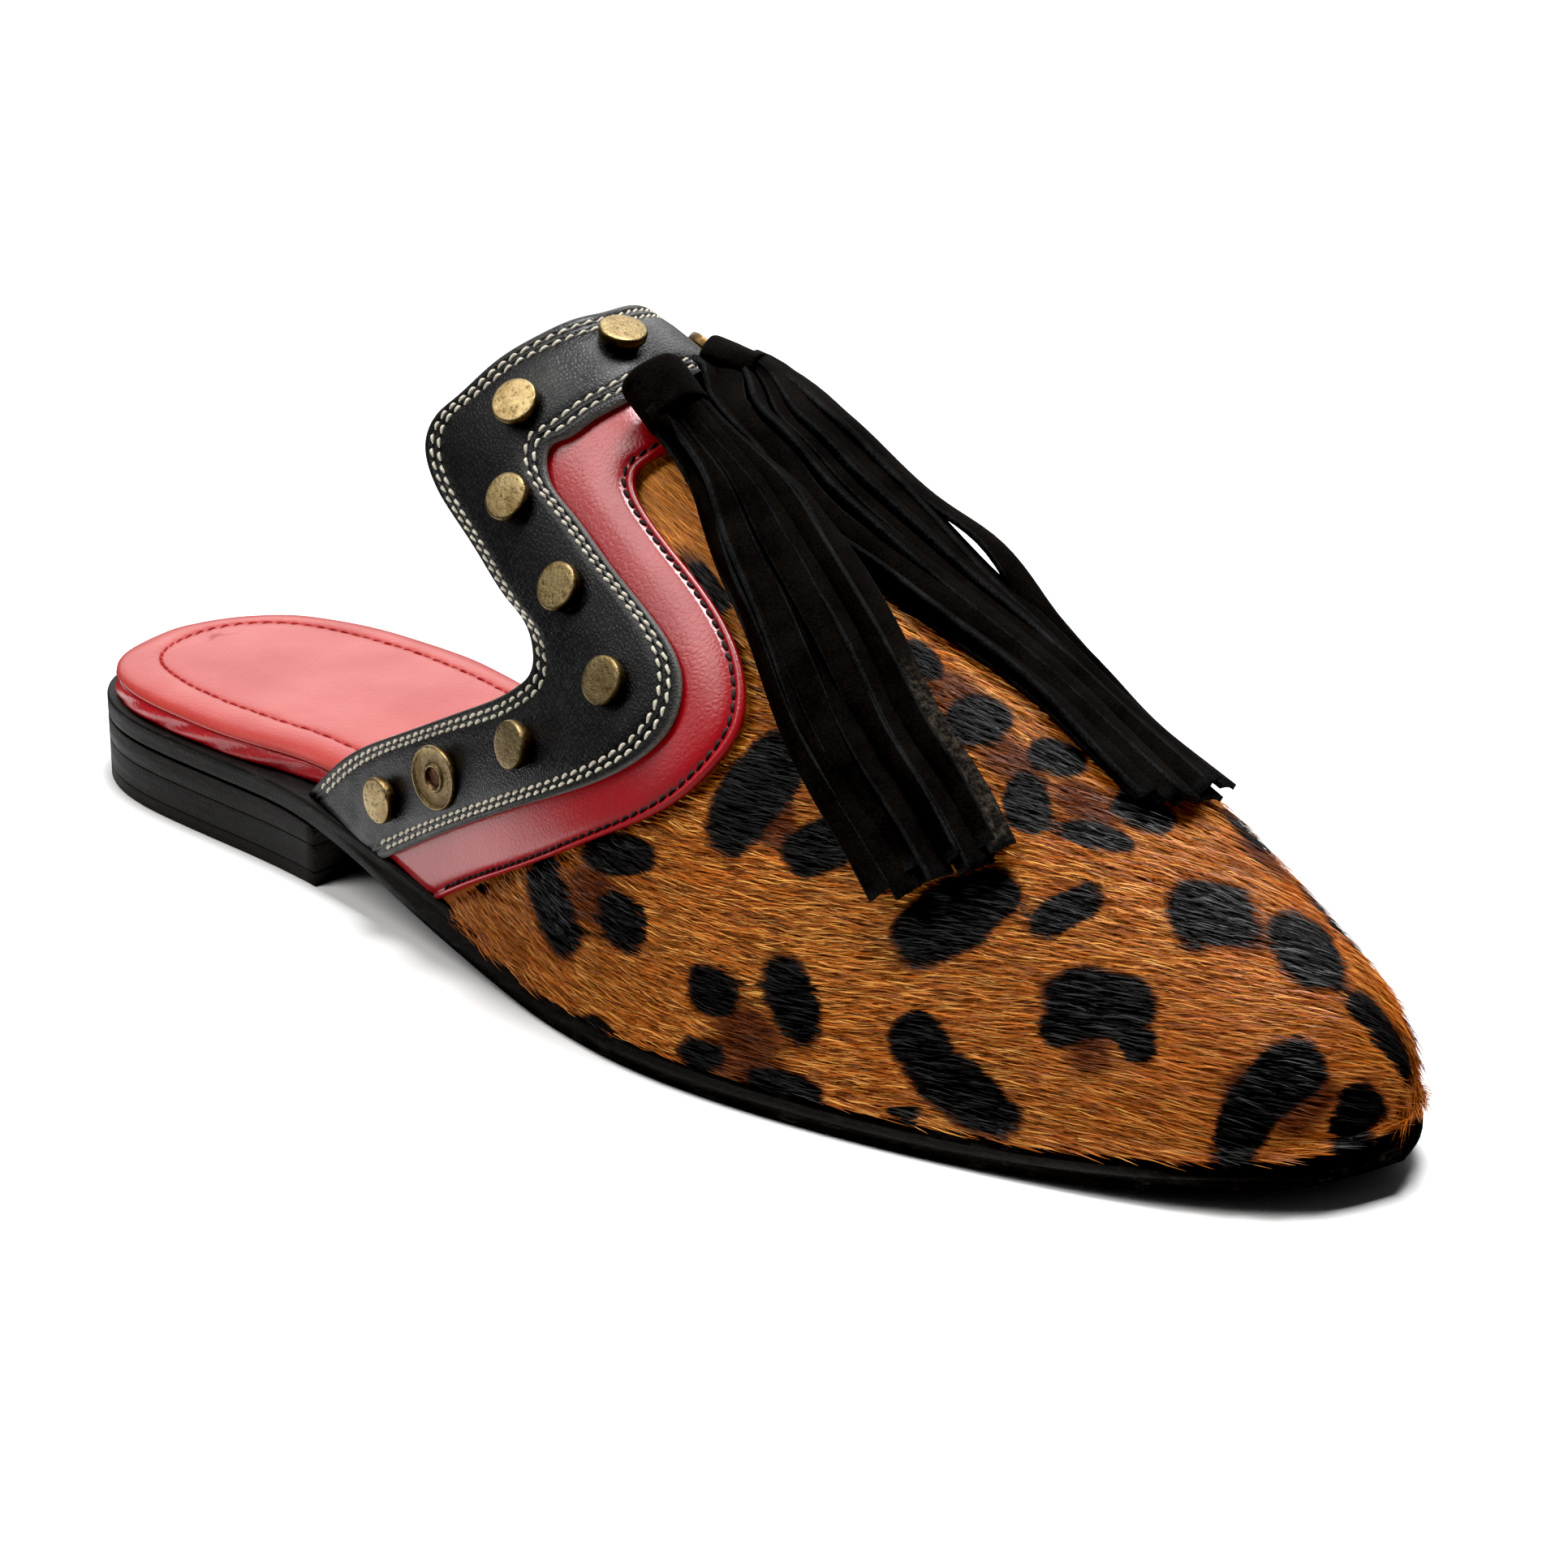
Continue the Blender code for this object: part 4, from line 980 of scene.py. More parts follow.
# Upper: lining, hide and the coat of hair
upper = {
    "wall": 1.4,
    "liningGap": (0.35, 1.15),  # under the collar and band, under the hair
    "hideSink": 0.85,
    "liningBackRows": 13,  # under the collar and band
    "liningRows": 44,
    "liningStep": (8.0, 13.0),  # rows between the two gaps
    "liningTip": 0.3,
    "liningStations": 121,
    "hideBackRows": 5,
    "hideRows": 124,
    "hideTip": 0.15,
    "hideStations": 161,
    "hideThickness": 0.25,
    "hideTuck": 0.5,  # share of the way from the collar front to the band front
    "toeSink": 0.5,
    "toeSinkReach": (190.0, 240.0),
    "bareFeather": 0.5,
    "bareTip": (0.7, 2.6),  # no hair grows this near to the tip of the toe, full coat from
    "hang": (1.2, 9.0, 1.5, 4.0),  # degrees below the feather, from, outwards, from
    "wobble": ((0.14, 0.22), (0.08, 0.6)),  # of the spots' edges: size, scale
    "spotCorner": 2.8,  # 2 makes ellipses, more makes fuller corners
    "spotEdge": (0.45, 1.55),  # full inside, none outside, as shares of a spot's size
    "rustEdge": (0.45, 1.35),
    "combElsewhere": 6.0,
    "combReach": (20.0, 16.0),
    "comb": (  # x, girth angle, lay of the hair towards the ridge in degrees
        (123, 0, 8), (145, 5, 11), (163, 2, 4), (161, 21, 12), (165, 13, 13), (164, 32, 18),
        (168, 17, 14), (176, 26, 15), (192, 32, 14), (205, 26, 18), (195, 17, 18), (199, 12, 30),
        (192, 5, 22), (217, 27, 20), (221, 13, 8), (212, 52, 12), (220, 60, 22), (228, 99, 26),
        (239, 52, 22), (238, 36, 18), (240, 13, 4),
        (252, 60, 20), (258, 69, 22), (253, 19, -2), (140, 71, -2), (173, 89, 10), (188, 81, 5),
        (125, 0, -10), (150, 0, -14), (180, 0, -20), (208, 0, -25), (232, 0, -20), (250, 3, -8),
        (150, 110, 8), (180, 120, 12), (215, 125, 14), (245, 120, 16), (150, 150, 4), (190, 150, 4),
        (230, 150, 2), (150, 178, 6), (190, 178, 16), (225, 178, 22), (250, 172, 16),
    ),
    "spots": (  # x, girth angle, long, wide, turn of the long side towards the ridge in degrees
        (172.5, 40, 21, 10.5, 70), (185, 37.5, 13.5, 7, 38), (205, 36, 18, 10, 52),
        (172.2, 10, 7.8, 9.5, -84), (185.5, 13, 13, 8.6, -58), (171, 0.6, 8.7, 4.5, 0),
        (185.5, -0.4, 12.5, 4.6, -2), (205, 13.4, 8.6, 8.2, 56), (211, 7, 19.4, 9, -24),
        (203.5, 0, 4.8, 2.4, -17), (227.2, 33, 16.4, 9.6, 21), (233.6, 27.4, 5.6, 5, -60),
        (223, 24, 5.2, 4.8, 19), (219, 49, 12, 5, 60), (234.2, 71.5, 12.6, 11.2, 48),
        (245, 88.5, 14.6, 10.4, -40), (251, 33, 12, 8.4, 64), (248, 12, 12.6, 7.4, 77),
        (257.6, 20, 10.5, 8, 65), (254.2, 89, 6.5, 5.6, 30), (257, 97, 6.5, 5.4, 40), (258.2, 112, 7, 5, 50),
        (207.2, 64.8, 9.4, 6.8, -55), (217, 68, 11, 4.2, 26), (218.6, 83.5, 9, 7.4, 17),
        (183, 77.5, 8.4, 5.6, -15), (195, 74, 8.6, 9.9, -8), (152.6, 63, 10, 3.7, -11),
        (137.6, 9.6, 16, 11.4, -42), (151.5, 21, 17.4, 5.9, 22), (154, 13.5, 9, 10.8, -89),
        (117.4, 4, 4.9, 2.5, 24), (150, -1.2, 7.5, 4, 0),
        (160, 92, 11, 7, 30), (178, 101, 12, 8, -35), (196, 96, 8, 6, 10), (206, 112, 14, 8, 40),
        (224, 118, 11, 8, -30), (238, 124, 9, 7, 15), (209, 43.5, 9, 8, 57), (206, 79, 8.5, 7.2, 31),
        (244, 130, 12, 7, 65), (254, 150, 9, 6, -60),
        (152, 116, 12, 7, -20), (168, 126, 16, 9, 80), (188, 124, 9, 7, 20), (200, 138, 13, 8, -50),
        (216, 146, 15, 8, 35), (232, 152, 10, 7, 70), (158, 146, 12, 7, 30), (178, 150, 14, 8, -65),
        (146, 160, 13, 6, 20), (164, 168, 10, 7, -80), (192, 166, 13, 7, 25), (210, 170, 11, 6, -20),
        (228, 174, 10, 4, 5), (126, 174, 10, 5, 15), (246, 170, 9, 5, 20),
    ),
    "rust": (
        (228, 21, 7, 6.5, 17), (239.6, 73, 6.5, 5, -51), (253.6, 22, 11, 6.5, 66), (213, 73.6, 12, 7, 12),
        (177, 37, 9, 8, 30), (147, 14.5, 14, 10, 15), (179, 6, 12, 10, -20), (178, 1, 16, 7, 0),
        (208, 10, 9, 8, 0), (224, 30, 10, 8, 20), (248, 24, 9, 8, 60), (202, 70, 9, 7, 0),
        (190, 76, 9, 8, 0), (150, 62, 12, 7, -10),
        (170, 97, 12, 9, 10), (200, 104, 12, 9, 20), (230, 111, 10, 8, 0), (178, 126, 12, 9, 40),
        (208, 142, 12, 9, 0), (168, 148, 12, 9, 10), (155, 164, 12, 8, 0), (201, 168, 12, 7, 0),
    ),
}


# Rows of places from a line behind the band front to the tip of the toe
def vampRows(back, front, backRows, rows, tipGap):
    even = np.linspace(0.0, 180.0, len(front))
    grid = [between(back, front, share) for share in np.linspace(0.0, 1.0, backRows + 1)[:-1]]
    for share in np.linspace(0.0, 1.0, rows):
        x = between(front[:, 0], toeX - tipGap, np.sin(share * np.pi / 2.0))
        grid.append(np.stack([x, between(front[:, 1], even, smooth(share))], axis=1))
    return np.array(grid)


def chartMask(x, angle, wobble, chart, inner, outer):
    corner = upper["spotCorner"]
    mask = np.zeros(len(x))
    for spotX, spotAngle, longSize, wideSize, turn in chart:
        stretch, perDegree = lastFrame(np.array([spotX], float), spotAngle)[3:]
        ahead = (x - spotX) * stretch
        up = (angle - spotAngle) * perDegree
        cosine, sine = math.cos(math.radians(turn)), math.sin(math.radians(turn))
        major = np.abs(ahead * cosine + up * sine) / (longSize / 2.0)
        minor = np.abs(up * cosine - ahead * sine) / (wideSize / 2.0)
        reach = (major**corner + minor**corner) ** (1.0 / corner) + wobble
        mask = np.maximum(mask, np.clip((outer - reach) / (outer - inner), 0.0, 1.0))
    return mask


def combLay(x, angle):
    reachX, reachAngle = upper["combReach"]
    total = np.full(len(x), 1e-6)
    lay = upper["combElsewhere"] * total
    for spotX, spotAngle, turn in upper["comb"]:
        weight = np.exp(-(((x - spotX) / reachX) ** 2) - ((angle - spotAngle) / reachAngle) ** 2)
        total = total + weight
        lay = lay + weight * turn
    return np.radians(lay / total)


def buildUpper():
    top, front = seamLines(upper["liningStations"])[::2]
    rows = vampRows(top, front, upper["liningBackRows"], upper["liningRows"], upper["liningTip"])
    depths = between(*upper["liningGap"], ramp(np.arange(len(rows)), *upper["liningStep"]))
    toeDepth = upper["toeSink"] * ramp(rows[..., 0], *upper["toeSinkReach"])
    thin = offLast(rows[..., 0], rows[..., 1], -depths[:, None] - toeDepth)
    wall = offLast(rows[..., 0], rows[..., 1], -upper["wall"] - toeDepth)
    addPiece("lining", sheetMesh("lining", thin, wall), finishes["lining"])

    middle, front = seamLines(upper["hideStations"])[1:]
    tuck = between(middle, front, upper["hideTuck"])
    spots = vampRows(tuck, front, upper["hideBackRows"], upper["hideRows"], upper["hideTip"])
    edge = np.minimum(spots[..., 1], 180.0 - spots[..., 1])
    cover = ramp(edge.ravel(), upper["bareFeather"] * 0.4, upper["bareFeather"])
    cover = cover * ramp(toeX - spots[..., 0].ravel(), *upper["bareTip"])
    below, start, out, outStart = upper["hang"]
    spots[..., 1] -= np.sign(90.0 - spots[..., 1]) * below * (1.0 - ramp(edge, 0.0, start))
    sink = -upper["hideSink"] - upper["toeSink"] * ramp(spots[..., 0], *upper["toeSinkReach"])
    sink = sink + out * (1.0 - ramp(edge, 0.0, outStart))
    x, angle = spots[..., 0].ravel(), spots[..., 1].ravel()
    outer = offLast(spots[..., 0], spots[..., 1], sink)
    inner = offLast(spots[..., 0], spots[..., 1], sink - upper["hideThickness"])
    points = outer.reshape(-1, 3)
    wobble = sum(size * softNoise(points, scale) for size, scale in upper["wobble"])
    along, around = lastFrame(x, angle)[:2]
    lay = combLay(x, angle)[:, None]
    comb = unit(np.cos(lay) * along + np.sin(lay) * around)
    behind = np.repeat(np.arange(len(spots)) < upper["hideBackRows"], spots.shape[1])
    marks = {
        "spot": chartMask(x, angle, wobble, upper["spots"], *upper["spotEdge"]),
        "rust": chartMask(x, angle, wobble, upper["rust"], *upper["rustEdge"]),
        "cover": cover * np.where(behind, 0.0, 1.0),
        "comb": comb,
    }
    addPiece("vamp_hide", sheetMesh("vamp_hide", outer, inner, marks), finishes["hide"], ["upper"])
    roots = makeMesh("roots", points, gridQuads(*spots.shape[:2]).tolist(), marks)
    print("lining and hide built")
    return roots


roots = buildUpper()

hair = {
    "layers": (  # name, hairs per square metre, length, width, lift, spread of lift, stray turn, seed
        ("hair_under", 4.5e6, 4.2, 0.25, 0.12, 0.05, 0.16, 3),
        ("hair_middle", 4.5e6, 5.2, 0.18, 0.15, 0.06, 0.17, 11),
        ("hair_top", 3.6e6, 7.0, 0.18, 0.18, 0.1, 0.15, 23),
    ),
    "clumps": 260.0,
    "locks": 900.0,
    "blade": (  # along, half width, rise
        (0.0, 0.5, 0.0), (0.55, 0.42, 0.035), (1.0, 0.0, -0.05),
    ),
}


# Noise about zero over the places of the points
def patchy(tree, scale, detail, size):
    patches = addNode(tree, "ShaderNodeTexNoise", {"Scale": scale, "Detail": detail}).outputs["Fac"]
    return maths(tree, "MULTIPLY", maths(tree, "SUBTRACT", patches, 0.5), size)


def hairTree():
    tree, given = newTree("hairCoat", [
        ("Hair Density", "Float"), ("Hair Length", "Float"), ("Hair Width", "Float"),
        ("Hair Lift", "Float"), ("Lift Spread", "Float"), ("Stray Turn", "Float"),
        ("Clump Scale", "Float"), ("Lock Scale", "Float"), ("Seed", "Int"), ("Blade", "Object"),
        ("Coat", "Material"),
    ])
    density = maths(tree, "MULTIPLY", given["Hair Density"], named(tree, "cover"))
    scattered = addNode(
        tree, "GeometryNodeDistributePointsOnFaces",
        {"Mesh": given["Geometry"], "Density": density, "Seed": given["Seed"]},
    )
    locked = patchy(tree, given["Lock Scale"], 3.0, 1.5)
    tone = maths(tree, "ADD", chance(tree, -0.15, 1.15, 5), locked)
    toned = storeValue(tree, scattered.outputs["Points"], "tone", tone)
    laid = standOn(tree, scattered.outputs["Normal"], named(tree, "comb", "FLOAT_VECTOR"))
    clumped = patchy(tree, given["Clump Scale"], 2.0, 3.0)
    swing = maths(tree, "ADD", clumped, chance(tree, -0.7, 0.7, 7))
    yaw = maths(tree, "MULTIPLY", swing, given["Stray Turn"])
    unevenLift = maths(tree, "MULTIPLY", given["Lift Spread"], chance(tree, -1.0, 1.0, 9))
    lift = maths(tree, "ADD", given["Hair Lift"], unevenLift)
    roll = chance(tree, -0.7, 0.7, 13)
    turned = turnBy(tree, laid, {"X": roll, "Y": maths(tree, "MULTIPLY", lift, -1.0), "Z": yaw})
    length = maths(tree, "MULTIPLY", given["Hair Length"], chance(tree, 0.6, 1.15, 15))
    width = maths(tree, "MULTIPLY", given["Hair Width"], chance(tree, 0.7, 1.25, 17))
    placed = putOn(tree, toned, given["Blade"], turned, {"X": length, "Y": width, "Z": length})
    grown = addNode(tree, "GeometryNodeRealizeInstances", {"Geometry": placed}).outputs[0]
    for label in ("spot", "rust"):  # the print as it lies under each point of a hair
        seen = addNode(tree, "GeometryNodeSampleNearestSurface", {
            "Mesh": given["Geometry"], "Value": named(tree, label),
        }, data_type="FLOAT").outputs[0]
        grown = storeValue(tree, grown, label, seen)
    return endTree(tree, grown, given["Coat"])


def buildHair():
    points, tips = [], []
    for along, half, rise in hair["blade"]:
        for side in (-1.0, 1.0) if half else (0.0,):
            points.append((along, side * half, rise))
            tips.append(along)
    blade = template("blade", points, [(0, 2, 3, 1), (2, 4, 3)], {"tip": tips})
    tree = hairTree()
    for name, density, length, width, lift, liftSpread, stray, seed in hair["layers"]:
        piece = growPiece(name, roots.copy(), tree, {
            "Hair Density": density, "Hair Length": length * mm, "Hair Width": width * mm,
            "Hair Lift": lift, "Lift Spread": liftSpread, "Stray Turn": stray,
            "Clump Scale": hair["clumps"], "Lock Scale": hair["locks"], "Seed": seed, "Blade": blade,
            "Coat": finishes["hair"],
        })
        for label in ("comb", "cover"):
            piece.data.attributes.remove(piece.data.attributes[label])
        dress(piece, finishes["hair"])
        print(name, len(piece.data.polygons), "faces")
    bpy.data.objects.remove(blade)
    bpy.data.meshes.remove(roots)


buildHair()


# Band and collar: strips swept along the seams, with a section given by distances from their edges
band = {
    "tuck": 0.75,  # share of the way from the topline to the collar front
    "inner": ((0.0, 0.3), (1.0, 0.3)),  # share across, lift
    "outer": ((0.0, 1.3), (1.0, 1.3)),
    "section": (  # edge, distance from it, level from the inner to the outer face, extra lift, cut edge
        ("back", 0.0, 0.5), ("back", 0.4, 1.0), ("back", 2.5, 1.0, 0.1), ("front", 8.5, 1.0, 0.2),
        ("front", 6.5, 1.0, 0.22), ("front", 4.4, 1.0, 0.2), ("front", 3.0, 1.0, 0.12),
        ("front", 2.4, 1.0, -0.02), ("front", 2.0, 1.0, -0.22), ("front", 1.7, 1.0, -0.26),
        ("front", 1.4, 1.0, -0.1), ("front", 1.1, 1.0, 0.1), ("front", 0.8, 1.0, 0.18),
        ("front", 0.45, 1.0, 0.12), ("front", 0.15, 1.0, -0.05, 0.1), ("front", 0.0, 0.75, 0.0, 0.4),
        ("front", 0.0, 0.4, 0.0, 0.8), ("front", 0.1, 0.05, 0.0, 0.8), ("front", 2.0, 0.0),
        ("front", 8.0, 0.0), ("back", 0.4, 0.0),
    ),
    "narrow": 12.5,  # narrower than this, all distances shrink
    "stitch": ("front", 1.8),
    "waves": 0.05,
}
collar = {
    "inner": ((0.0, 0.3), (0.4, 0.95), (0.75, 1.6), (1.0, 1.6)),
    "outer": ((0.0, 1.5), (0.4, 2.15), (0.75, 2.8), (1.0, 2.8)),
    "section": (
        ("back", 0.05, 0.1, 0.0, 0.7), ("back", -0.05, 0.4, 0.0, 0.8), ("back", 0.0, 0.75, 0.0, 0.6),
        ("back", 0.25, 1.0, -0.06, 0.25), ("back", 0.7, 1.0, 0.06), ("back", 1.25, 1.0, 0.05),
        ("back", 1.5, 1.0, -0.08), ("back", 1.8, 1.0, -0.2), ("back", 2.1, 1.0, -0.08),
        ("back", 2.35, 1.0, 0.05), ("back", 2.6, 1.0, 0.08), ("back", 2.85, 1.0, 0.05),
        ("back", 3.1, 1.0, -0.08), ("back", 3.4, 1.0, -0.2), ("back", 3.7, 1.0, -0.08),
        ("back", 4.2, 1.0, 0.06), ("back", 6.0, 1.0, 0.16), ("middle", 0.0, 1.0, 0.18),
        ("front", 6.0, 1.0, 0.14), ("front", 4.4, 1.0, 0.06), ("front", 3.8, 1.0, -0.08),
        ("front", 3.5, 1.0, -0.2), ("front", 3.2, 1.0, -0.08), ("front", 2.95, 1.0, 0.05),
        ("front", 2.7, 1.0, 0.08), ("front", 2.45, 1.0, 0.05), ("front", 2.2, 1.0, -0.08),
        ("front", 1.9, 1.0, -0.2), ("front", 1.6, 1.0, -0.08), ("front", 1.3, 1.0, 0.05),
        ("front", 0.8, 1.0, 0.06), ("front", 0.35, 1.0, -0.04, 0.3), ("front", 0.0, 0.82, 0.0, 1.0),
        ("front", -0.1, 0.45, 0.0, 1.0), ("front", 0.05, 0.05, 0.0, 1.0), ("front", 2.0, 0.0),
        ("front", 5.0, 0.0), ("back", 5.0, 0.0), ("back", 1.5, 0.0),
    ),
    "narrow": 13.0,
    "stitches": (("back", 1.8), ("back", 3.4), ("front", 1.9), ("front", 3.5)),
    "waves": 0.08,
}


def acrossShare(width, edge, distance, narrow):
    share = distance / np.maximum(width, narrow)
    return {"back": share, "front": 1.0 - share, "middle": 0.5 + share}[edge]


def stripWidth(back, front):
    return np.linalg.norm(onLast(*front.T) - onLast(*back.T), axis=1)


def faceLift(sizes, share, level):
    low, high = (np.interp(share, *np.array(sizes[face]).T) for face in ("inner", "outer"))
    return between(low, high, level)


def sweptStrip(name, sizes, back, front):
    width = stripWidth(back, front)
    ragged = sizes.get("ragged", 0.0)
    columns, cuts = [], []
    for row in sizes["section"]:
        edge, distance, level, extra, cut = (*row, 0.0, 0.0)[:5]
        spurs = ragged * (0.5 + softNoise(onLast(*back.T), 1.7))
        share = acrossShare(width, edge, distance - spurs * (distance < 0.0), sizes["narrow"])
        spot = between(back, front, share[:, None])
        waves = softNoise(onLast(*spot.T), 0.06)
        lift = faceLift(sizes, share, level) + extra + sizes["waves"] * waves * (level > 0.9)
        columns.append(offLast(spot[:, 0], spot[:, 1], lift))
        cuts.append(np.full(len(spot), cut))
    return stripMesh(name, np.stack(columns, axis=1), {"cut": np.stack(cuts, axis=1).ravel()})


# Line of stitches on a strip: its points and the normals there
def stitchLine(sizes, back, front, edge, distance, rise):
    share = acrossShare(stripWidth(back, front), edge, distance, sizes["narrow"])
    spot = between(back, front, share[:, None])
    lift = faceLift(sizes, share, 1.0) + rise
    return offLast(spot[:, 0], spot[:, 1], lift), lastFrame(spot[:, 0], spot[:, 1])[2]


bandBack = between(topline, collarFront, band["tuck"])
strips = (  # name, sizes, back and front line, finish, slot, solid it stands for
    ("band_skived", band, bandBack, bandFront, "band", "red_leather", "band"),
    ("collar_sewn", collar, topline, collarFront, "blackLeather", "black_leather", "collar"),
)
for name, sizes, back, front, finish, slotName, node in strips:
    addPiece(name, sweptStrip(name, sizes, back, front), finishes[finish], [node])
fray = {
    "stations": 1601,
    "reach": 0.1,  # share of the topline that shows the cut skin, from each feather
    "inner": ((0.0, -0.75), (1.0, -0.75)),
    "outer": ((0.0, 0.3), (1.0, 0.3)),
    "section": (
        ("back", 0.4, 0.0), ("back", -0.08, 0.1), ("back", -0.14, 0.5), ("back", -0.08, 0.9),
        ("back", 0.4, 1.0),
    ),
    "ragged": 0.3,
    "narrow": 12.0,
    "waves": 0.1,
}
edges = seamLines(fray["stations"])
shown = int(fray["stations"] * fray["reach"])
for label, ends in (("outer", slice(0, shown)), ("inner", slice(-shown, None))):
    name = f"topline_fray_{label}"
    addPiece(name, sweptStrip(name, fray, edges[0][ends], edges[1][ends]), finishes["skin"])
print("band and collar built")

stitching = {
    "sides": 8,
    "rings": (-0.5, -0.44, -0.3, -0.1, 0.1, 0.3, 0.44, 0.5),
    "half": 0.505,  # length of one stitch from its middle, just past the last ring
    "radius": 0.48,
    "sag": (0.32, 3.0, 2.4),  # rise in the middle, fall to the ends, bend
    "plies": 2,
    "plyDepth": 0.16,
    "twist": 2.2,  # turns of the plies along one stitch
    "lift": {"collar": -0.2, "band": -0.3, "sock": 0.05},  # of the rows over their leather
    "rows": {  # pitch, length, thickness, slant in radians, stray slant, seed
        "collar": (2.05, 1.65, 0.58, 0.24, 0.12, 2),
        "band": (1.9, 1.9, 0.62, 0.2, 0.22, 4),
        "sock": (2.5, 1.9, 0.5, 0.18, 0.08, 6),
    },
}


def stitchTemplate():
    turn = np.linspace(0.0, 2.0 * np.pi, stitching["sides"], endpoint=False)
    rise, fall, bend = stitching["sag"]
    points = []
    for along in stitching["rings"]:
        roundness = math.sqrt(max(0.0, 1.0 - (abs(along) / stitching["half"]) ** 5))
        twisted = turn - 2.0 * np.pi * stitching["twist"] * along
        plies = 1.0 + stitching["plyDepth"] * np.cos(stitching["plies"] * twisted)
        radius = stitching["radius"] * roundness * plies
        sag = rise - fall * abs(along) ** bend
        ring = (0.0 * turn + along, radius * np.cos(turn), radius * np.sin(turn) + sag)
        points += np.stack(ring, -1).tolist()
    faces = gridQuads(len(stitching["rings"]), stitching["sides"], closed=True).tolist()
    last = len(points) - stitching["sides"]
    faces += [list(range(stitching["sides"])), list(range(last, len(points)))]
    return template("stitch", points, faces)


def stitchTree():
    tree, given = newTree("stitchRow", [
        ("Pitch", "Float"), ("Stitch Length", "Float"), ("Thread", "Float"), ("Slant", "Float"),
        ("Stray Slant", "Float"), ("Seed", "Int"), ("Stitch", "Object"), ("Thread Finish", "Material"),
    ])
    curve = addNode(tree, "GeometryNodeMeshToCurve", {"Mesh": given["Geometry"]})
    even = addNode(tree, "GeometryNodeResampleCurve", {"Curve": curve.outputs[0]}, mode="LENGTH")
    tree.links.new(given["Pitch"], even.inputs["Length"])
    tangent = addNode(tree, "GeometryNodeInputTangent").outputs[0]
    laid = standOn(tree, named(tree, "surfaceNormal", "FLOAT_VECTOR"), tangent)
    stray = maths(tree, "MULTIPLY", given["Stray Slant"], chance(tree, -1.0, 1.0, given["Seed"]))
    turned = turnBy(tree, laid, {"Z": maths(tree, "ADD", given["Slant"], stray)})
    length = maths(tree, "MULTIPLY", given["Stitch Length"], chance(tree, 0.92, 1.06, 3))
    size = {"X": length, "Y": given["Thread"], "Z": given["Thread"]}
    placed = putOn(tree, even.outputs[0], given["Stitch"], turned, size)
    return endTree(tree, placed, given["Thread Finish"])


def pathMesh(name, lines, closed=False):
    mesh = bpy.data.meshes.new(name)
    points, normals, edges = [], [], []
    for line, lineNormals in lines:
        start = len(points)
        points += toRow(line).tolist()
        normals += np.asarray(lineNormals).tolist()
        edges += [(start + i, start + i + 1) for i in range(len(line) - 1)]
        if closed:
            edges.append((start + len(line) - 1, start))
    mesh.from_pydata(points, edges, [])
    setMark(mesh, "surfaceNormal", normals)
    return mesh


def buildStitches():
    stitch = stitchTemplate()
    tree = stitchTree()
    lift = stitching["lift"]
    inside = slice(2, -2)  # the rows stop short of the feather
    collarRows = []
    for edge, distance in collar["stitches"]:
        line, normals = stitchLine(collar, topline, collarFront, edge, distance, lift["collar"])
        collarRows.append((line[inside], normals[inside]))
    line, normals = stitchLine(band, bandBack, bandFront, *band["stitch"], lift["band"])
    sewn = sewnLine + np.array((0.0, 0.0, lift["sock"]))
    upwards = np.tile((0.0, 0.0, 1.0), (len(sewn), 1))
    paths = {
        "collar": pathMesh("collarPath", collarRows),
        "band": pathMesh("bandPath", [(line[inside], normals[inside])]),
        "sock": pathMesh("sockPath", [(sewn, upwards)], closed=True),
    }
    jobs = (  # kind of row, finish, slot
        ("collar", "cream", None), ("band", "blackThread", None), ("sock", "redThread", "footbed"),
    )
    for kind, finish, slotName in jobs:
        name = f"{kind}_stitches"
        pitch, length, thread, slant, stray, seed = stitching["rows"][kind]
        piece = growPiece(name, paths[kind], tree, {
            "Pitch": pitch * mm, "Stitch Length": length * mm, "Thread": thread * mm, "Slant": slant,
            "Stray Slant": stray, "Seed": seed, "Stitch": stitch, "Thread Finish": finishes[finish],
        })
        dress(piece, finishes[finish])
        print(name, len(piece.data.polygons), "faces")
    bpy.data.objects.remove(stitch)


buildStitches()

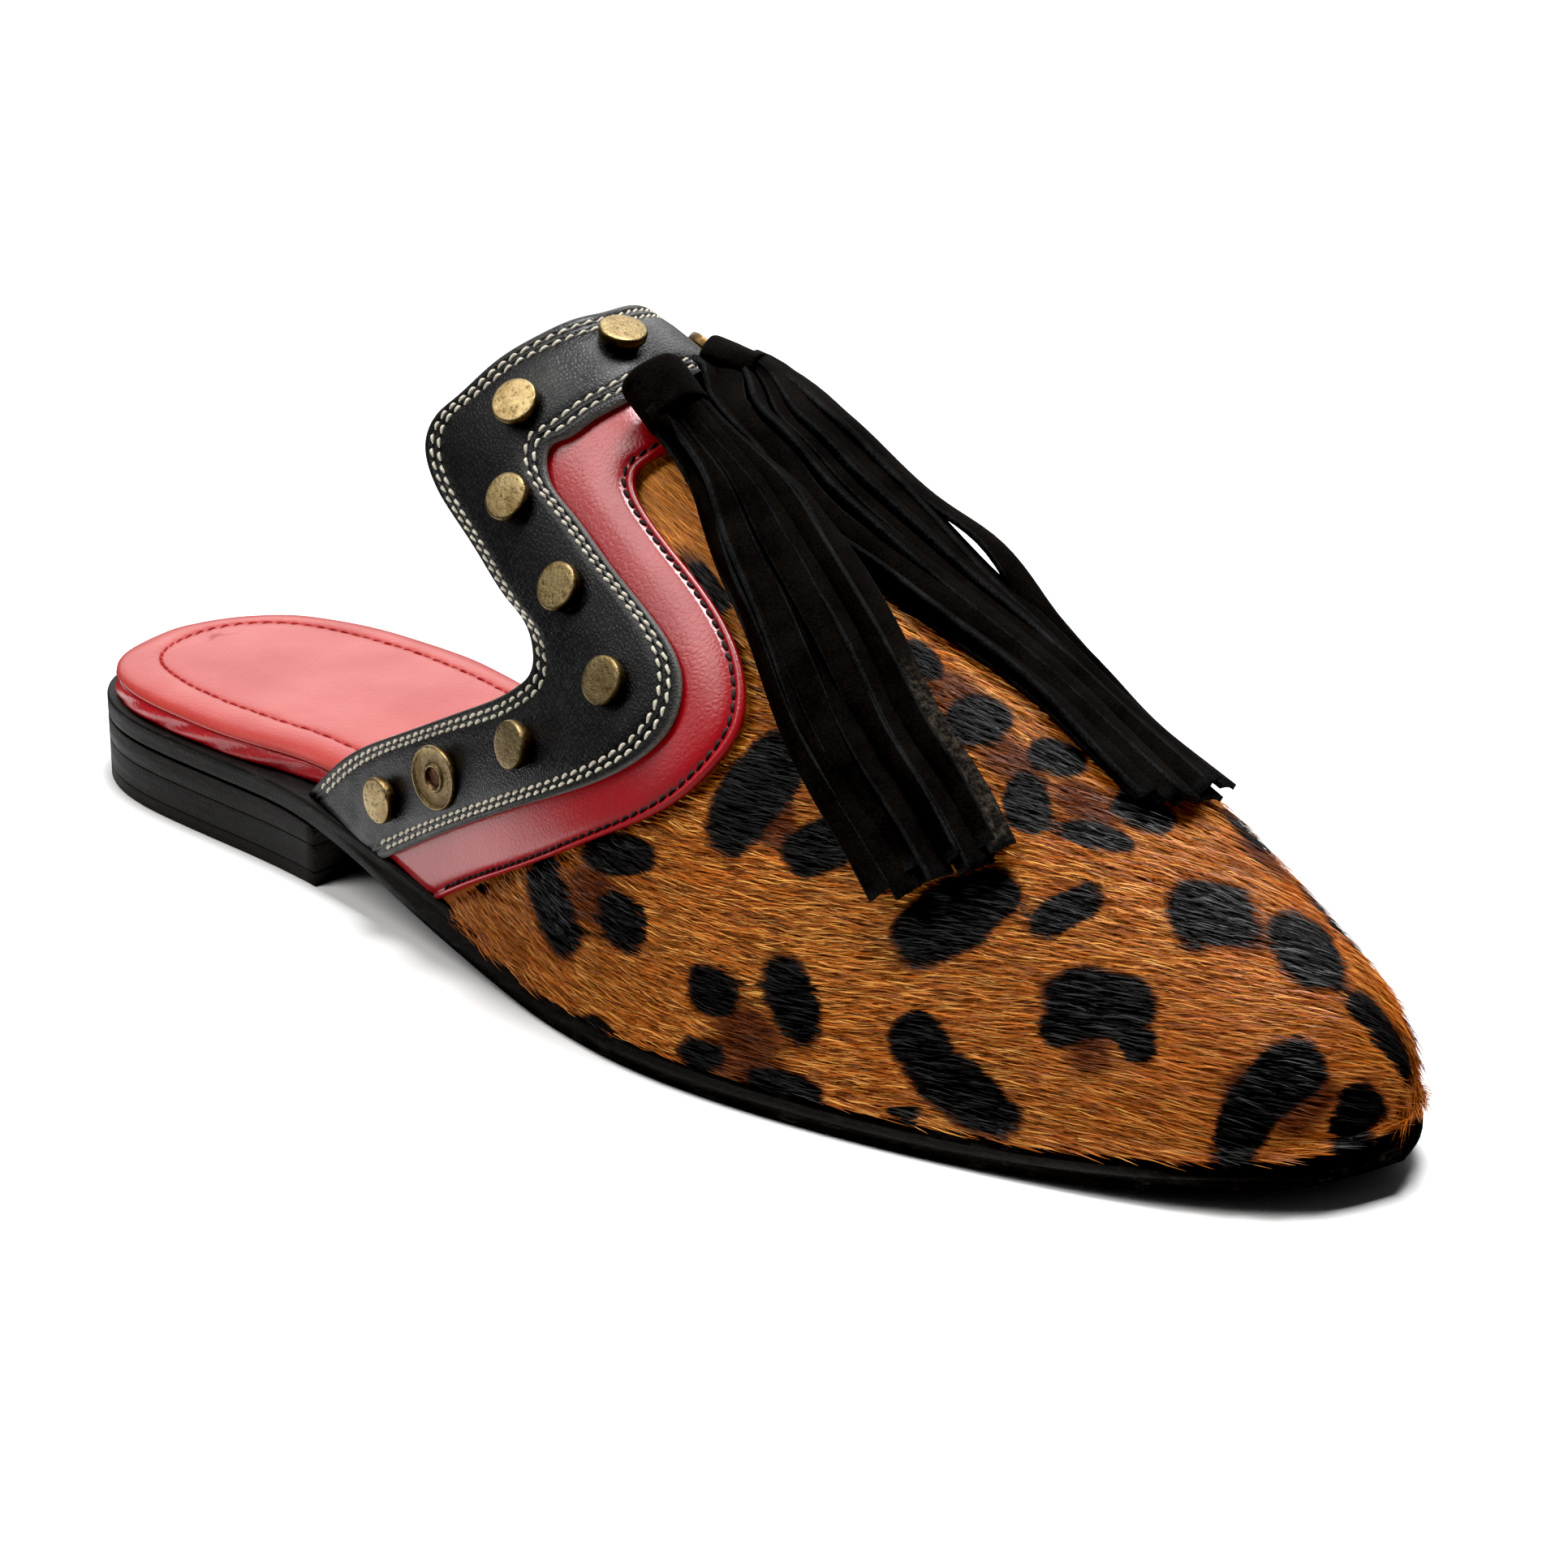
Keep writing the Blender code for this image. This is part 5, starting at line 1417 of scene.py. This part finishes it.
# Studs and the ringed snap on the collar
studs = {
    "seat": 2.72,  # lift of the collar's outer face under them
    "steps": 36,
    "snapSteps": 56,
    "tilt": 0.03,
    "seed": 8,
    "profile": (  # radius, height, side
        (0.0, 2.1, 0.0), (1.4, 2.1, 0.0), (2.6, 2.09, 0.0), (3.2, 2.06, 0.0), (3.42, 2.02, 0.1),
        (3.55, 1.92, 0.3), (3.62, 1.74, 0.7), (3.64, 1.3, 1.0), (3.6, 0.7, 1.0), (3.45, 0.4, 1.0),
        (2.9, 0.3, 1.0), (2.7, -0.9, 1.0), (0.0, -0.9, 1.0),
    ),
    "snapProfile": (  # radius, height, side, copper
        (0.0, 0.95, 0.0, 1.0), (1.0, 0.93, 0.0, 1.0), (1.45, 0.98, 0.0, 1.0), (1.62, 1.2, 0.3, 0.5),
        (1.75, 1.42, 0.0, 0.0), (1.95, 1.46, 0.0, 0.0), (2.12, 1.36, 0.3, 0.0), (2.3, 1.2, 0.5, 0.15),
        (2.6, 1.16, 0.35, 0.15), (4.1, 1.2, 0.35, 0.15), (4.4, 1.3, 0.2, 0.0), (4.62, 1.48, 0.0, 0.0),
        (4.82, 1.48, 0.0, 0.0), (4.96, 1.3, 0.4, 0.0), (5.0, 1.0, 1.0, 0.0), (4.9, 0.5, 1.0, 0.0),
        (4.35, 0.3, 1.0, 0.0), (4.2, -0.5, 1.0, 0.0), (0.0, -0.5, 1.0, 0.0),
    ),
    "outer": (  # x, girth angle, lean towards the ridge and towards the heel in degrees
        (95.3, 6.6, 0, 0), (110.3, 14.0, 0, -8), (129.8, 25.7, 0, 0), (145.6, 41.1, -2, 0),
        (132.1, 46.6, 2, 0), (117.7, 49.7, 8, 0), (113.1, 60.7, 9, 0),
    ),
    "snap": 2,  # this one of the outer row is the snap
    "centre": (118.6, 86.6, 3, 14),
}


def studTree():
    tree, given = newTree("studRow", [
        ("Tilt", "Float"), ("Seed", "Int"), ("Stud", "Object"), ("Metal", "Material"),
    ])
    points = addNode(tree, "GeometryNodeMeshToPoints", {"Mesh": given["Geometry"]})
    stood = standOn(tree, named(tree, "surfaceNormal", "FLOAT_VECTOR"))
    leans = [maths(tree, "MULTIPLY", given["Tilt"], chance(tree, -1.0, 1.0, seed)) for seed in (21, 34)]
    spin = chance(tree, 0.0, 6.28, given["Seed"])
    turned = turnBy(tree, stood, {"X": leans[0], "Y": leans[1], "Z": spin})
    return endTree(tree, putOn(tree, points.outputs[0], given["Stud"], turned), given["Metal"])


def buildStuds():
    places = {"stud_centre": studs["centre"]}
    for number, (x, angle, lean, back) in enumerate(studs["outer"], 1):
        kind = "snap" if number == studs["snap"] else "stud"
        places[f"{kind}_outer_{number}"] = (x, angle, lean, back)
        places[f"stud_inner_{number}"] = (x, 180.0 - angle, -lean, back)
    snapName = f"snap_outer_{studs['snap']}"
    rows = studs["profile"]
    points, faces = turnedMesh(rows, studs["steps"])
    side = np.repeat([row[2] for row in rows], studs["steps"])
    stud = template("stud", points * mm, faces, {"side": side, "copper": 0.0 * side})
    plain = np.array([place for name, place in places.items() if name != snapName], float)
    seats = offLast(plain[:, 0], plain[:, 1], np.full(len(plain), studs["seat"]))
    along, around, normal = lastFrame(plain[:, 0], plain[:, 1])[:3]
    leans = np.tan(np.radians(plain[:, 2:]))
    path = pathMesh("studSeats", [(seats, unit(normal + leans[:, :1] * around - leans[:, 1:] * along))])
    piece = growPiece("studs_turned", path, studTree(), {
        "Tilt": studs["tilt"], "Seed": studs["seed"], "Stud": stud, "Metal": finishes["brass"],
    })
    dress(piece, finishes["brass"], [name for name in places if name != snapName])
    bpy.data.objects.remove(stud)

    rows = studs["snapProfile"]
    points, faces = turnedMesh(rows, studs["snapSteps"])
    x, angle, lean, back = places[snapName]
    along, around, normal = lastFrame(x, angle)[:3]
    normal = unit(normal + math.tan(math.radians(lean)) * around - math.tan(math.radians(back)) * along)
    along = unit(along - (along @ normal) * normal)
    seat = offLast(x, angle, studs["seat"])
    sideways = np.cross(normal, along)
    placed = seat + points @ np.stack([along, sideways, normal])
    columns = (("side", 2), ("copper", 3))
    marks = {label: np.repeat([row[i] for row in rows], studs["snapSteps"]) for label, i in columns}
    name = "snap_ringed"
    addPiece(name, makeMesh(name, placed, faces, marks), finishes["brass"], [snapName])
    print("studs and snap built:", len(places))


buildStuds()

# Tassels: a rolled head and loose suede strips in two layers
tassels = {
    "headWrap": 0.5,  # step where the roll ends
    "headSteps": 65,
    "clear": 3.2,
    "stripWidth": 3.9,
    "stripThickness": 0.9,
    "lowerLayer": (0.45, -0.45, 0.9),  # share of the upper layer's lift, less, at least
    "steps": 48,
    "grip": 2.0,  # how far inside the roll a strip starts
    "widen": 0.35,  # share of its length where a strip has its full width
    "cup": 0.35,  # hollow across a strip
    "rollWaves": (0.8, 4.0, 7.0),  # change of roll along a strip: size, turn along, turn across
    "reverseReach": (0.6, 0.72),
    "twistReach": 0.09,
    "across": (-1.0, -0.86, -0.45, 0.0, 0.45, 0.86, 1.0),
    "outer": {
        "size": (5.4, 4.6, 8.6),  # half width, half height and length of the roll
        "above": 0.0,
        "land": 0.3,  # share of its length where a strip has left the direction of the roll
        "root": (7.4, 6.4),  # width and height of the bundle inside the roll
        "under": (0.0, 0.0),  # how far back and down the first strips start
        "rootShare": 0.55,  # width of a strip in the roll
        "head": (132.0, 80.4),
        "aim": (150.0, 77.5, 5.6),
        "left": (  # share of the length, x, girth angle, lift
            (0.0, 137.0, 76.0, 6.5), (0.13, 143.5, 72.6, 5.2), (0.26, 151.7, 66.6, 4.2),
            (0.41, 160.0, 61.0, 3.2), (0.67, 174.5, 48.2, 2.6), (0.93, 189.6, 37.0, 2.4),
            (1.0, 193.7, 33.2, 2.4),
        ),
        "right": (
            (0.0, 138.0, 85.0, 10.0), (0.1, 146.3, 87.0, 9.6), (0.28, 158.3, 84.6, 9.2),
            (0.44, 170.1, 80.1, 8.0), (0.6, 182.9, 74.0, 6.0), (0.76, 194.2, 66.2, 4.5),
            (0.87, 202.3, 61.6, 3.6), (1.0, 210.7, 54.5, 2.8),
        ),
        "strips": (  # place across, layer, extra length, roll, sway, extra lift, twist and where it is
            (0.05, 0, 0.0, -14, 0.0, 0.0, 0, 0.4), (0.24, 0, 1.5, 8, 0.3, 0.0, 10, 0.5),
            (0.42, 0, -1.0, -6, 0.0, 0.2, 0, 0.4), (0.60, 0, 2.0, 10, -0.3, 0.0, 0, 0.4),
            (0.77, 0, 0.5, -8, 0.2, 0.0, 12, 0.6), (0.95, 0, -1.5, 12, 0.0, 0.0, 0, 0.4),
            (0.0, 1, 1.0, 30, 0.0, -0.4, 20, 0.35), (0.15, 1, 2.4, -24, 0.3, 0.5, 25, 0.7),
            (0.29, 1, -0.5, 20, -0.2, 0.9, -20, 0.3), (0.43, 1, 1.8, -30, 0.3, 0.3, 22, 0.55),
            (0.57, 1, 0.4, 26, -0.3, 1.0, -25, 0.6), (0.71, 1, 2.2, -22, 0.2, 0.4, 20, 0.4),
            (0.86, 1, -0.8, 28, -0.2, 0.6, -22, 0.7), (1.0, 1, -0.6, -24, 0.3, -0.2, 20, 0.45),
        ),
        "reverse": 13,  # this strip lies with its rough side up near the tip
        # strip that stands off the bundle: number, lift, place, reach, reach of its twist
        "loose": (-1, 0.0, 0.5, 0.1, 0.1),
    },
    "inner": {
        "size": (4.4, 3.1, 8.2),
        "above": 0.7,
        "land": 0.15,
        "root": (6.6, 4.2),
        "under": (6.0, 2.2),
        "rootShare": 1.0,
        "head": (128.5, 100.0),
        "aim": (141.0, 106.0, 12.0),
        "left": (
            (0.0, 129.0, 92.4, 4.6), (0.06, 133.5, 89.4, 4.6), (0.12, 139.0, 87.6, 4.6),
            (0.2, 146.0, 86.5, 4.4), (0.3, 155.0, 83.6, 3.4), (0.4, 164.0, 83.6, 2.9),
            (0.47, 170.0, 85.0, 2.7), (0.6, 182.0, 85.8, 2.6), (0.75, 196.5, 86.4, 2.6),
            (0.87, 207.5, 84.0, 2.5), (1.0, 217.5, 82.0, 2.4),
        ),
        "right": (
            (0.0, 134.0, 101.5, 10.0), (0.12, 144.0, 103.4, 12.6), (0.26, 155.0, 105.0, 11.6),
            (0.4, 166.2, 106.8, 9.0), (0.52, 176.9, 107.8, 6.0), (0.63, 186.8, 108.8, 4.4),
            (0.79, 201.0, 110.0, 2.4), (0.9, 209.5, 111.0, 2.8), (1.0, 217.0, 112.0, 3.6),
        ),
        "strips": (
            (0.05, 0, 0.0, 12, 0.0, 0.3, 0, 0.4), (0.23, 0, 2.0, -8, 0.3, 0.3, 0, 0.4),
            (0.42, 0, 3.0, 6, -0.2, 0.3, 0, 0.4), (0.60, 0, 3.4, -10, 0.2, 0.3, 0, 0.4),
            (0.78, 0, 3.4, 9, 0.0, 0.2, 0, 0.4), (0.95, 0, 3.2, -6, -0.2, 0.0, 0, 0.4),
            (0.0, 1, 1.0, -26, 0.2, 0.0, -15, 0.4), (0.15, 1, 3.0, 16, -0.3, 0.5, 18, 0.6),
            (0.34, 1, 4.4, -24, 0.2, 0.8, -20, 0.35), (0.51, 1, 4.0, 26, 0.2, 0.4, 15, 0.7),
            (0.68, 1, 2.5, -15, -0.3, 0.8, 0, 0.4), (0.84, 1, 2.6, 18, 0.1, 0.3, 0, 0.4),
            (0.93, 1, 1.4, -8, 0.0, 0.2, 0, 0.4), (1.0, 1, 3.4, 4, 0.0, 0.0, 75, 0.65),
            (0.76, 1, 2.7, 2, 0.0, 0.3, 0, 0.4),
        ),
        "reverse": -1,
        "loose": (13, 3.0, 0.49, 0.1, 0.12),
    },
}


def tasselAxes(tassel):
    x, angle = tassel["head"]
    normal = lastFrame(x, angle)[2]
    clear = tassels["clear"] + tassel["size"][1] + tassel["above"]
    centre = offLast(x, angle, clear)
    axis = unit(offLast(*tassel["aim"]) - centre)
    side = unit(np.cross(axis, normal))
    if side[1] < 0.0:
        side = -side
    lift = np.cross(side, axis)
    return centre, axis, side, lift if lift @ normal > 0.0 else -lift


def headMesh(name, tassel):
    centre, axis, side, lift = tasselAxes(tassel)
    wide, high, length = tassel["size"]
    half = length / 2.0
    section = (  # along, size as a share, how much of the roll's step shows
        (-half + 0.7, 0.0, 0.0), (-half + 0.6, 0.3, 0.0), (-half + 0.45, 0.55, 0.0),
        (-half + 0.25, 0.74, 0.3), (-half + 0.1, 0.84, 1.0), (-half + 0.15, 0.92, 1.0),
        (-half + 0.6, 0.98, 1.0), (-half + 1.4, 1.0, 1.0), (0.0, 1.0, 1.0),
        (half - 1.8, 1.0, 1.0), (half - 0.8, 1.01, 1.0), (half - 0.2, 1.0, 1.0),
        (half, 0.95, 1.0), (half - 0.1, 0.88, 1.0), (half - 0.8, 0.82, 0.5), (half - 1.8, 0.78, 0.0),
        (half - 2.2, 0.4, 0.0), (half - 2.3, 0.0, 0.0),
    )
    turn = np.linspace(0.0, 2.0 * np.pi, tassels["headSteps"])
    turn[-1] -= 0.012  # keeps the two sides of the step apart
    angle = turn - np.pi / 2.0  # the roll ends underneath
    rows = []
    for along, share, step in section:
        reach = share * (1.0 - step * tassels["headWrap"] / high * turn / (2.0 * np.pi))
        ring = centre + np.multiply.outer(np.full(len(turn), along), axis)
        ring = ring + np.multiply.outer(reach * wide * np.cos(angle), side)
        ring = ring + np.multiply.outer(reach * high * np.sin(angle), lift)
        soft = softNoise(ring, 0.28)
        ring = ring + np.multiply.outer(0.35 * soft * share, lift)
        rows.append(ring)
    cut = np.repeat([0.35 if along >= half - 0.1 else 0.0 for along, share, step in section], len(turn))
    points = np.array(rows)
    return makeMesh(
        name, points.reshape(-1, 3), gridQuads(len(rows), len(turn), closed=True).tolist(),
        {"cut": cut, "reverse": 0.0 * cut},
    )


def edgeLine(edge, share):
    drawn = spline(edge, 240)
    return np.stack([np.interp(share, drawn[:, 0], drawn[:, i]) for i in (1, 2, 3)], axis=1)


def stripSheet(name, tassel, row, reverse, loose):
    centre, axis, side, lift = tasselAxes(tassel)
    place, layer, extra, roll, sway, bump, turnOver, turnPlace = row
    share = np.linspace(0.0, 1.0, tassels["steps"])
    left, right = (edgeLine(tassel[edge], share) for edge in ("left", "right"))
    gap = np.linalg.norm(offLast(*right.T) - offLast(*left.T), axis=1)
    margin = np.minimum(0.5, 0.46 * tassels["stripWidth"] / gap)  # the strips' sides lie on the edge lines
    spot = between(left, right, between(margin, 1.0 - margin, place)[:, None])
    spot[:, 0] += extra * share
    spot[:, 1] += sway * np.sin(share * np.pi * 1.6) * 2.0
    part, less, least = tassels["lowerLayer"]
    height = spot[:, 2] if layer else np.maximum(part * spot[:, 2] + less, least)
    looseLift, loosePlace, looseReach, looseTwist = tassel["loose"][1:]
    offBundle = looseLift * loose * np.exp(-(((share - loosePlace) / looseReach) ** 2))
    laid = offLast(spot[:, 0], spot[:, 1], height + bump * np.sin(share * np.pi) + offBundle)
    normals = lastFrame(spot[:, 0], spot[:, 1])[2]
    start = centre + axis * (tassel["size"][2] / 2.0 - tassels["grip"])
    rootWidth, rootHeight = tassel["root"]
    root = start + side * rootWidth * (place - 0.5)
    root = root + lift * rootHeight * ((layer - 0.5) * 0.5 + 0.1 * math.cos(place * 9.0))
    early = max(0.0, 1.0 - 2.0 * place)
    root = root - (axis * tassel["under"][0] + lift * tassel["under"][1]) * early
    length = np.linalg.norm(laid[-1] - laid[0])
    held = root + np.multiply.outer(share * length, axis)
    landed = smooth(share / (tassel["land"] * (1.0 - 0.6 * early)))[:, None]
    line = between(held, laid, landed)
    normal = unit(between(np.tile(lift, (len(share), 1)), normals, landed))
    ahead = unit(np.gradient(line, axis=0))
    sideways = unit(np.cross(normal, ahead))
    size, along, sidewise = tassels["rollWaves"]
    twist = np.radians(roll) * (1.0 + size * np.sin(share * along + place * sidewise))
    reach = between(tassels["twistReach"], looseTwist, loose)
    twist = twist + np.radians(turnOver) * np.exp(-(((share - turnPlace) / reach) ** 2))
    across = np.cos(twist)[:, None] * sideways + np.sin(twist)[:, None] * normal
    face = unit(np.cross(ahead, across))
    half = tassels["stripWidth"] / 2.0 * between(tassel["rootShare"], 1.0, smooth(share / tassels["widen"]))
    ribs = np.array(tassels["across"])
    grid = line[:, None, :] + (half[:, None] * ribs)[..., None] * across[:, None, :]
    cup = tassels["cup"] * (1.0 - ribs**2)
    grid = grid + (cup * np.ones_like(half)[:, None])[..., None] * face[:, None, :]
    thickness = tassels["stripThickness"]
    top = grid + face[:, None, :] * thickness / 2.0
    bottom = grid - face[:, None, :] * thickness / 2.0
    cut = np.tile(np.where(np.abs(ribs) > 0.95, 1.0, 0.0), len(share))
    cut = np.maximum(cut, np.repeat(np.where(share >= 1.0, 0.8, 0.0), len(ribs)))
    turned = reverse * ramp(share, *tassels["reverseReach"])
    return sheetMesh(name, top, bottom, {"cut": cut, "reverse": np.repeat(turned, len(ribs))})


def joined(name, meshes):
    shape = bmesh.new()
    for mesh in meshes:
        shape.from_mesh(mesh)
        bpy.data.meshes.remove(mesh)
    whole = bpy.data.meshes.new(name)
    shape.to_mesh(whole)
    shape.free()
    whole.shade_smooth()
    return whole


def buildTassels():
    for label in ("outer", "inner"):
        tassel = tassels[label]
        name = f"tassel_roll_{label}"
        addPiece(name, headMesh(name, tassel), finishes["suede"], [f"tassel_head_{label}"])
        sheets = []
        for number, row in enumerate(tassel["strips"]):
            rough, loose = (float(number == chosen) for chosen in (tassel["reverse"], tassel["loose"][0]))
            sheets.append(stripSheet(f"strip{number}", tassel, row, rough, loose))
        name = f"tassel_strips_{label}"
        addPiece(name, joined(name, sheets), finishes["suede"], [f"tassel_fringe_{label}"])
    print("tassels built")


buildTassels()

# Stage: floor, lights and camera
stage = {
    "floorSize": 6.0,
    "floorColour": ((0.93, 0.93, 0.93), (0.915, 0.915, 0.915)),
    "lights": (  # name, place, aim, size, watts, colour
        ("key", (-0.39, -0.60, 1.08), (0.0, 0.0, 0.04), (0.58, 0.82), 8.8, (1.0, 0.97, 0.92)),
        ("behind", (-0.9, 0.74, 0.62), (0.0, 0.0, 0.04), (1.5, 0.9), 9.5, (1.0, 0.98, 0.95)),
        ("above", (0.05, 0.24, 1.6), (0.0, 0.0, 0.0), (0.6, 0.6), 36.0, (1.0, 0.99, 0.97)),
        ("card", (-0.57, -0.72, 0.42), (0.0, 0.0, 0.06), (0.3, 0.3), 0.5, (1.0, 1.0, 1.0)),
    ),
    "world": (0.04, 0.04, 0.04),
    "blackLevel": 0.003,
    "whiteLevel": (0.975, 0.96, 0.935),
    "sheet": ((-60.0, -100.0), (90.0, -15.0)),  # part of the floor that the leather mirrors
    "cameraPlace": (541.2, -411.0, 247.2),
    "cameraAim": (140.6, 6.8, 25.0),
    "lens": 94.3,
    "sensor": 36.0,
}


def aimAt(thing, place, aim):
    thing.location = place
    thing.rotation_euler = (aim - place).to_track_quat("-Z", "Y").to_euler()


def buildStage():
    material, tree, shader, place = newMaterial("paleFloor", {"Specular IOR Level": 0.15})
    shade = noiseAt(tree, place, 3.0, 2.0)
    feed(
        tree, shader, Base_Color=mixColour(tree, shade, *stage["floorColour"]),
        Roughness=spread(tree, shade, 0.3, 0.7, 0.55, 0.6),
    )
    half = stage["floorSize"] / 2.0
    low, high = (toRow((*corner, 0.0))[0] for corner in stage["sheet"])
    corners = [(x, y, 0.0) for y in (-half, low[1], high[1], half) for x in (-half, low[0], high[0], half)]
    squares = gridQuads(4, 4).tolist()
    for name, faces in (("floor", squares[:4] + squares[5:]), ("floor_sheet", squares[4:5])):
        mesh = bpy.data.meshes.new(name)
        mesh.from_pydata(corners, [], faces)
        mesh.materials.append(material)
        floor = addObject(name, mesh)
        floor.visible_glossy = name == "floor_sheet"

    for name, place, aim, size, watts, colour in stage["lights"]:
        lamp = bpy.data.lights.new(name, "AREA")
        lamp.shape = "RECTANGLE"
        lamp.size, lamp.size_y = size
        lamp.energy = watts
        lamp.color = colour
        aimAt(addObject(name, lamp), Vector(place), Vector(aim))

    world = bpy.data.worlds.new("studio")
    world.use_nodes = True
    world.node_tree.nodes["Background"].inputs["Color"].default_value = (*stage["world"], 1.0)
    scene.world = world

    lens = bpy.data.cameras.new("photoView")
    lens.lens = stage["lens"]
    lens.sensor_width = stage["sensor"]
    lens.clip_start = 0.01
    scene.camera = addObject("photoView", lens)
    aimAt(scene.camera, *(Vector(toRow(stage[point])[0]) for point in ("cameraPlace", "cameraAim")))
    view = scene.view_settings
    view.view_transform = "Standard"
    view.use_curve_mapping = True
    view.curve_mapping.black_level = (stage["blackLevel"],) * 3
    view.curve_mapping.white_level = stage["whiteLevel"]
    view.curve_mapping.update()
    print("stage ready")


buildStage()
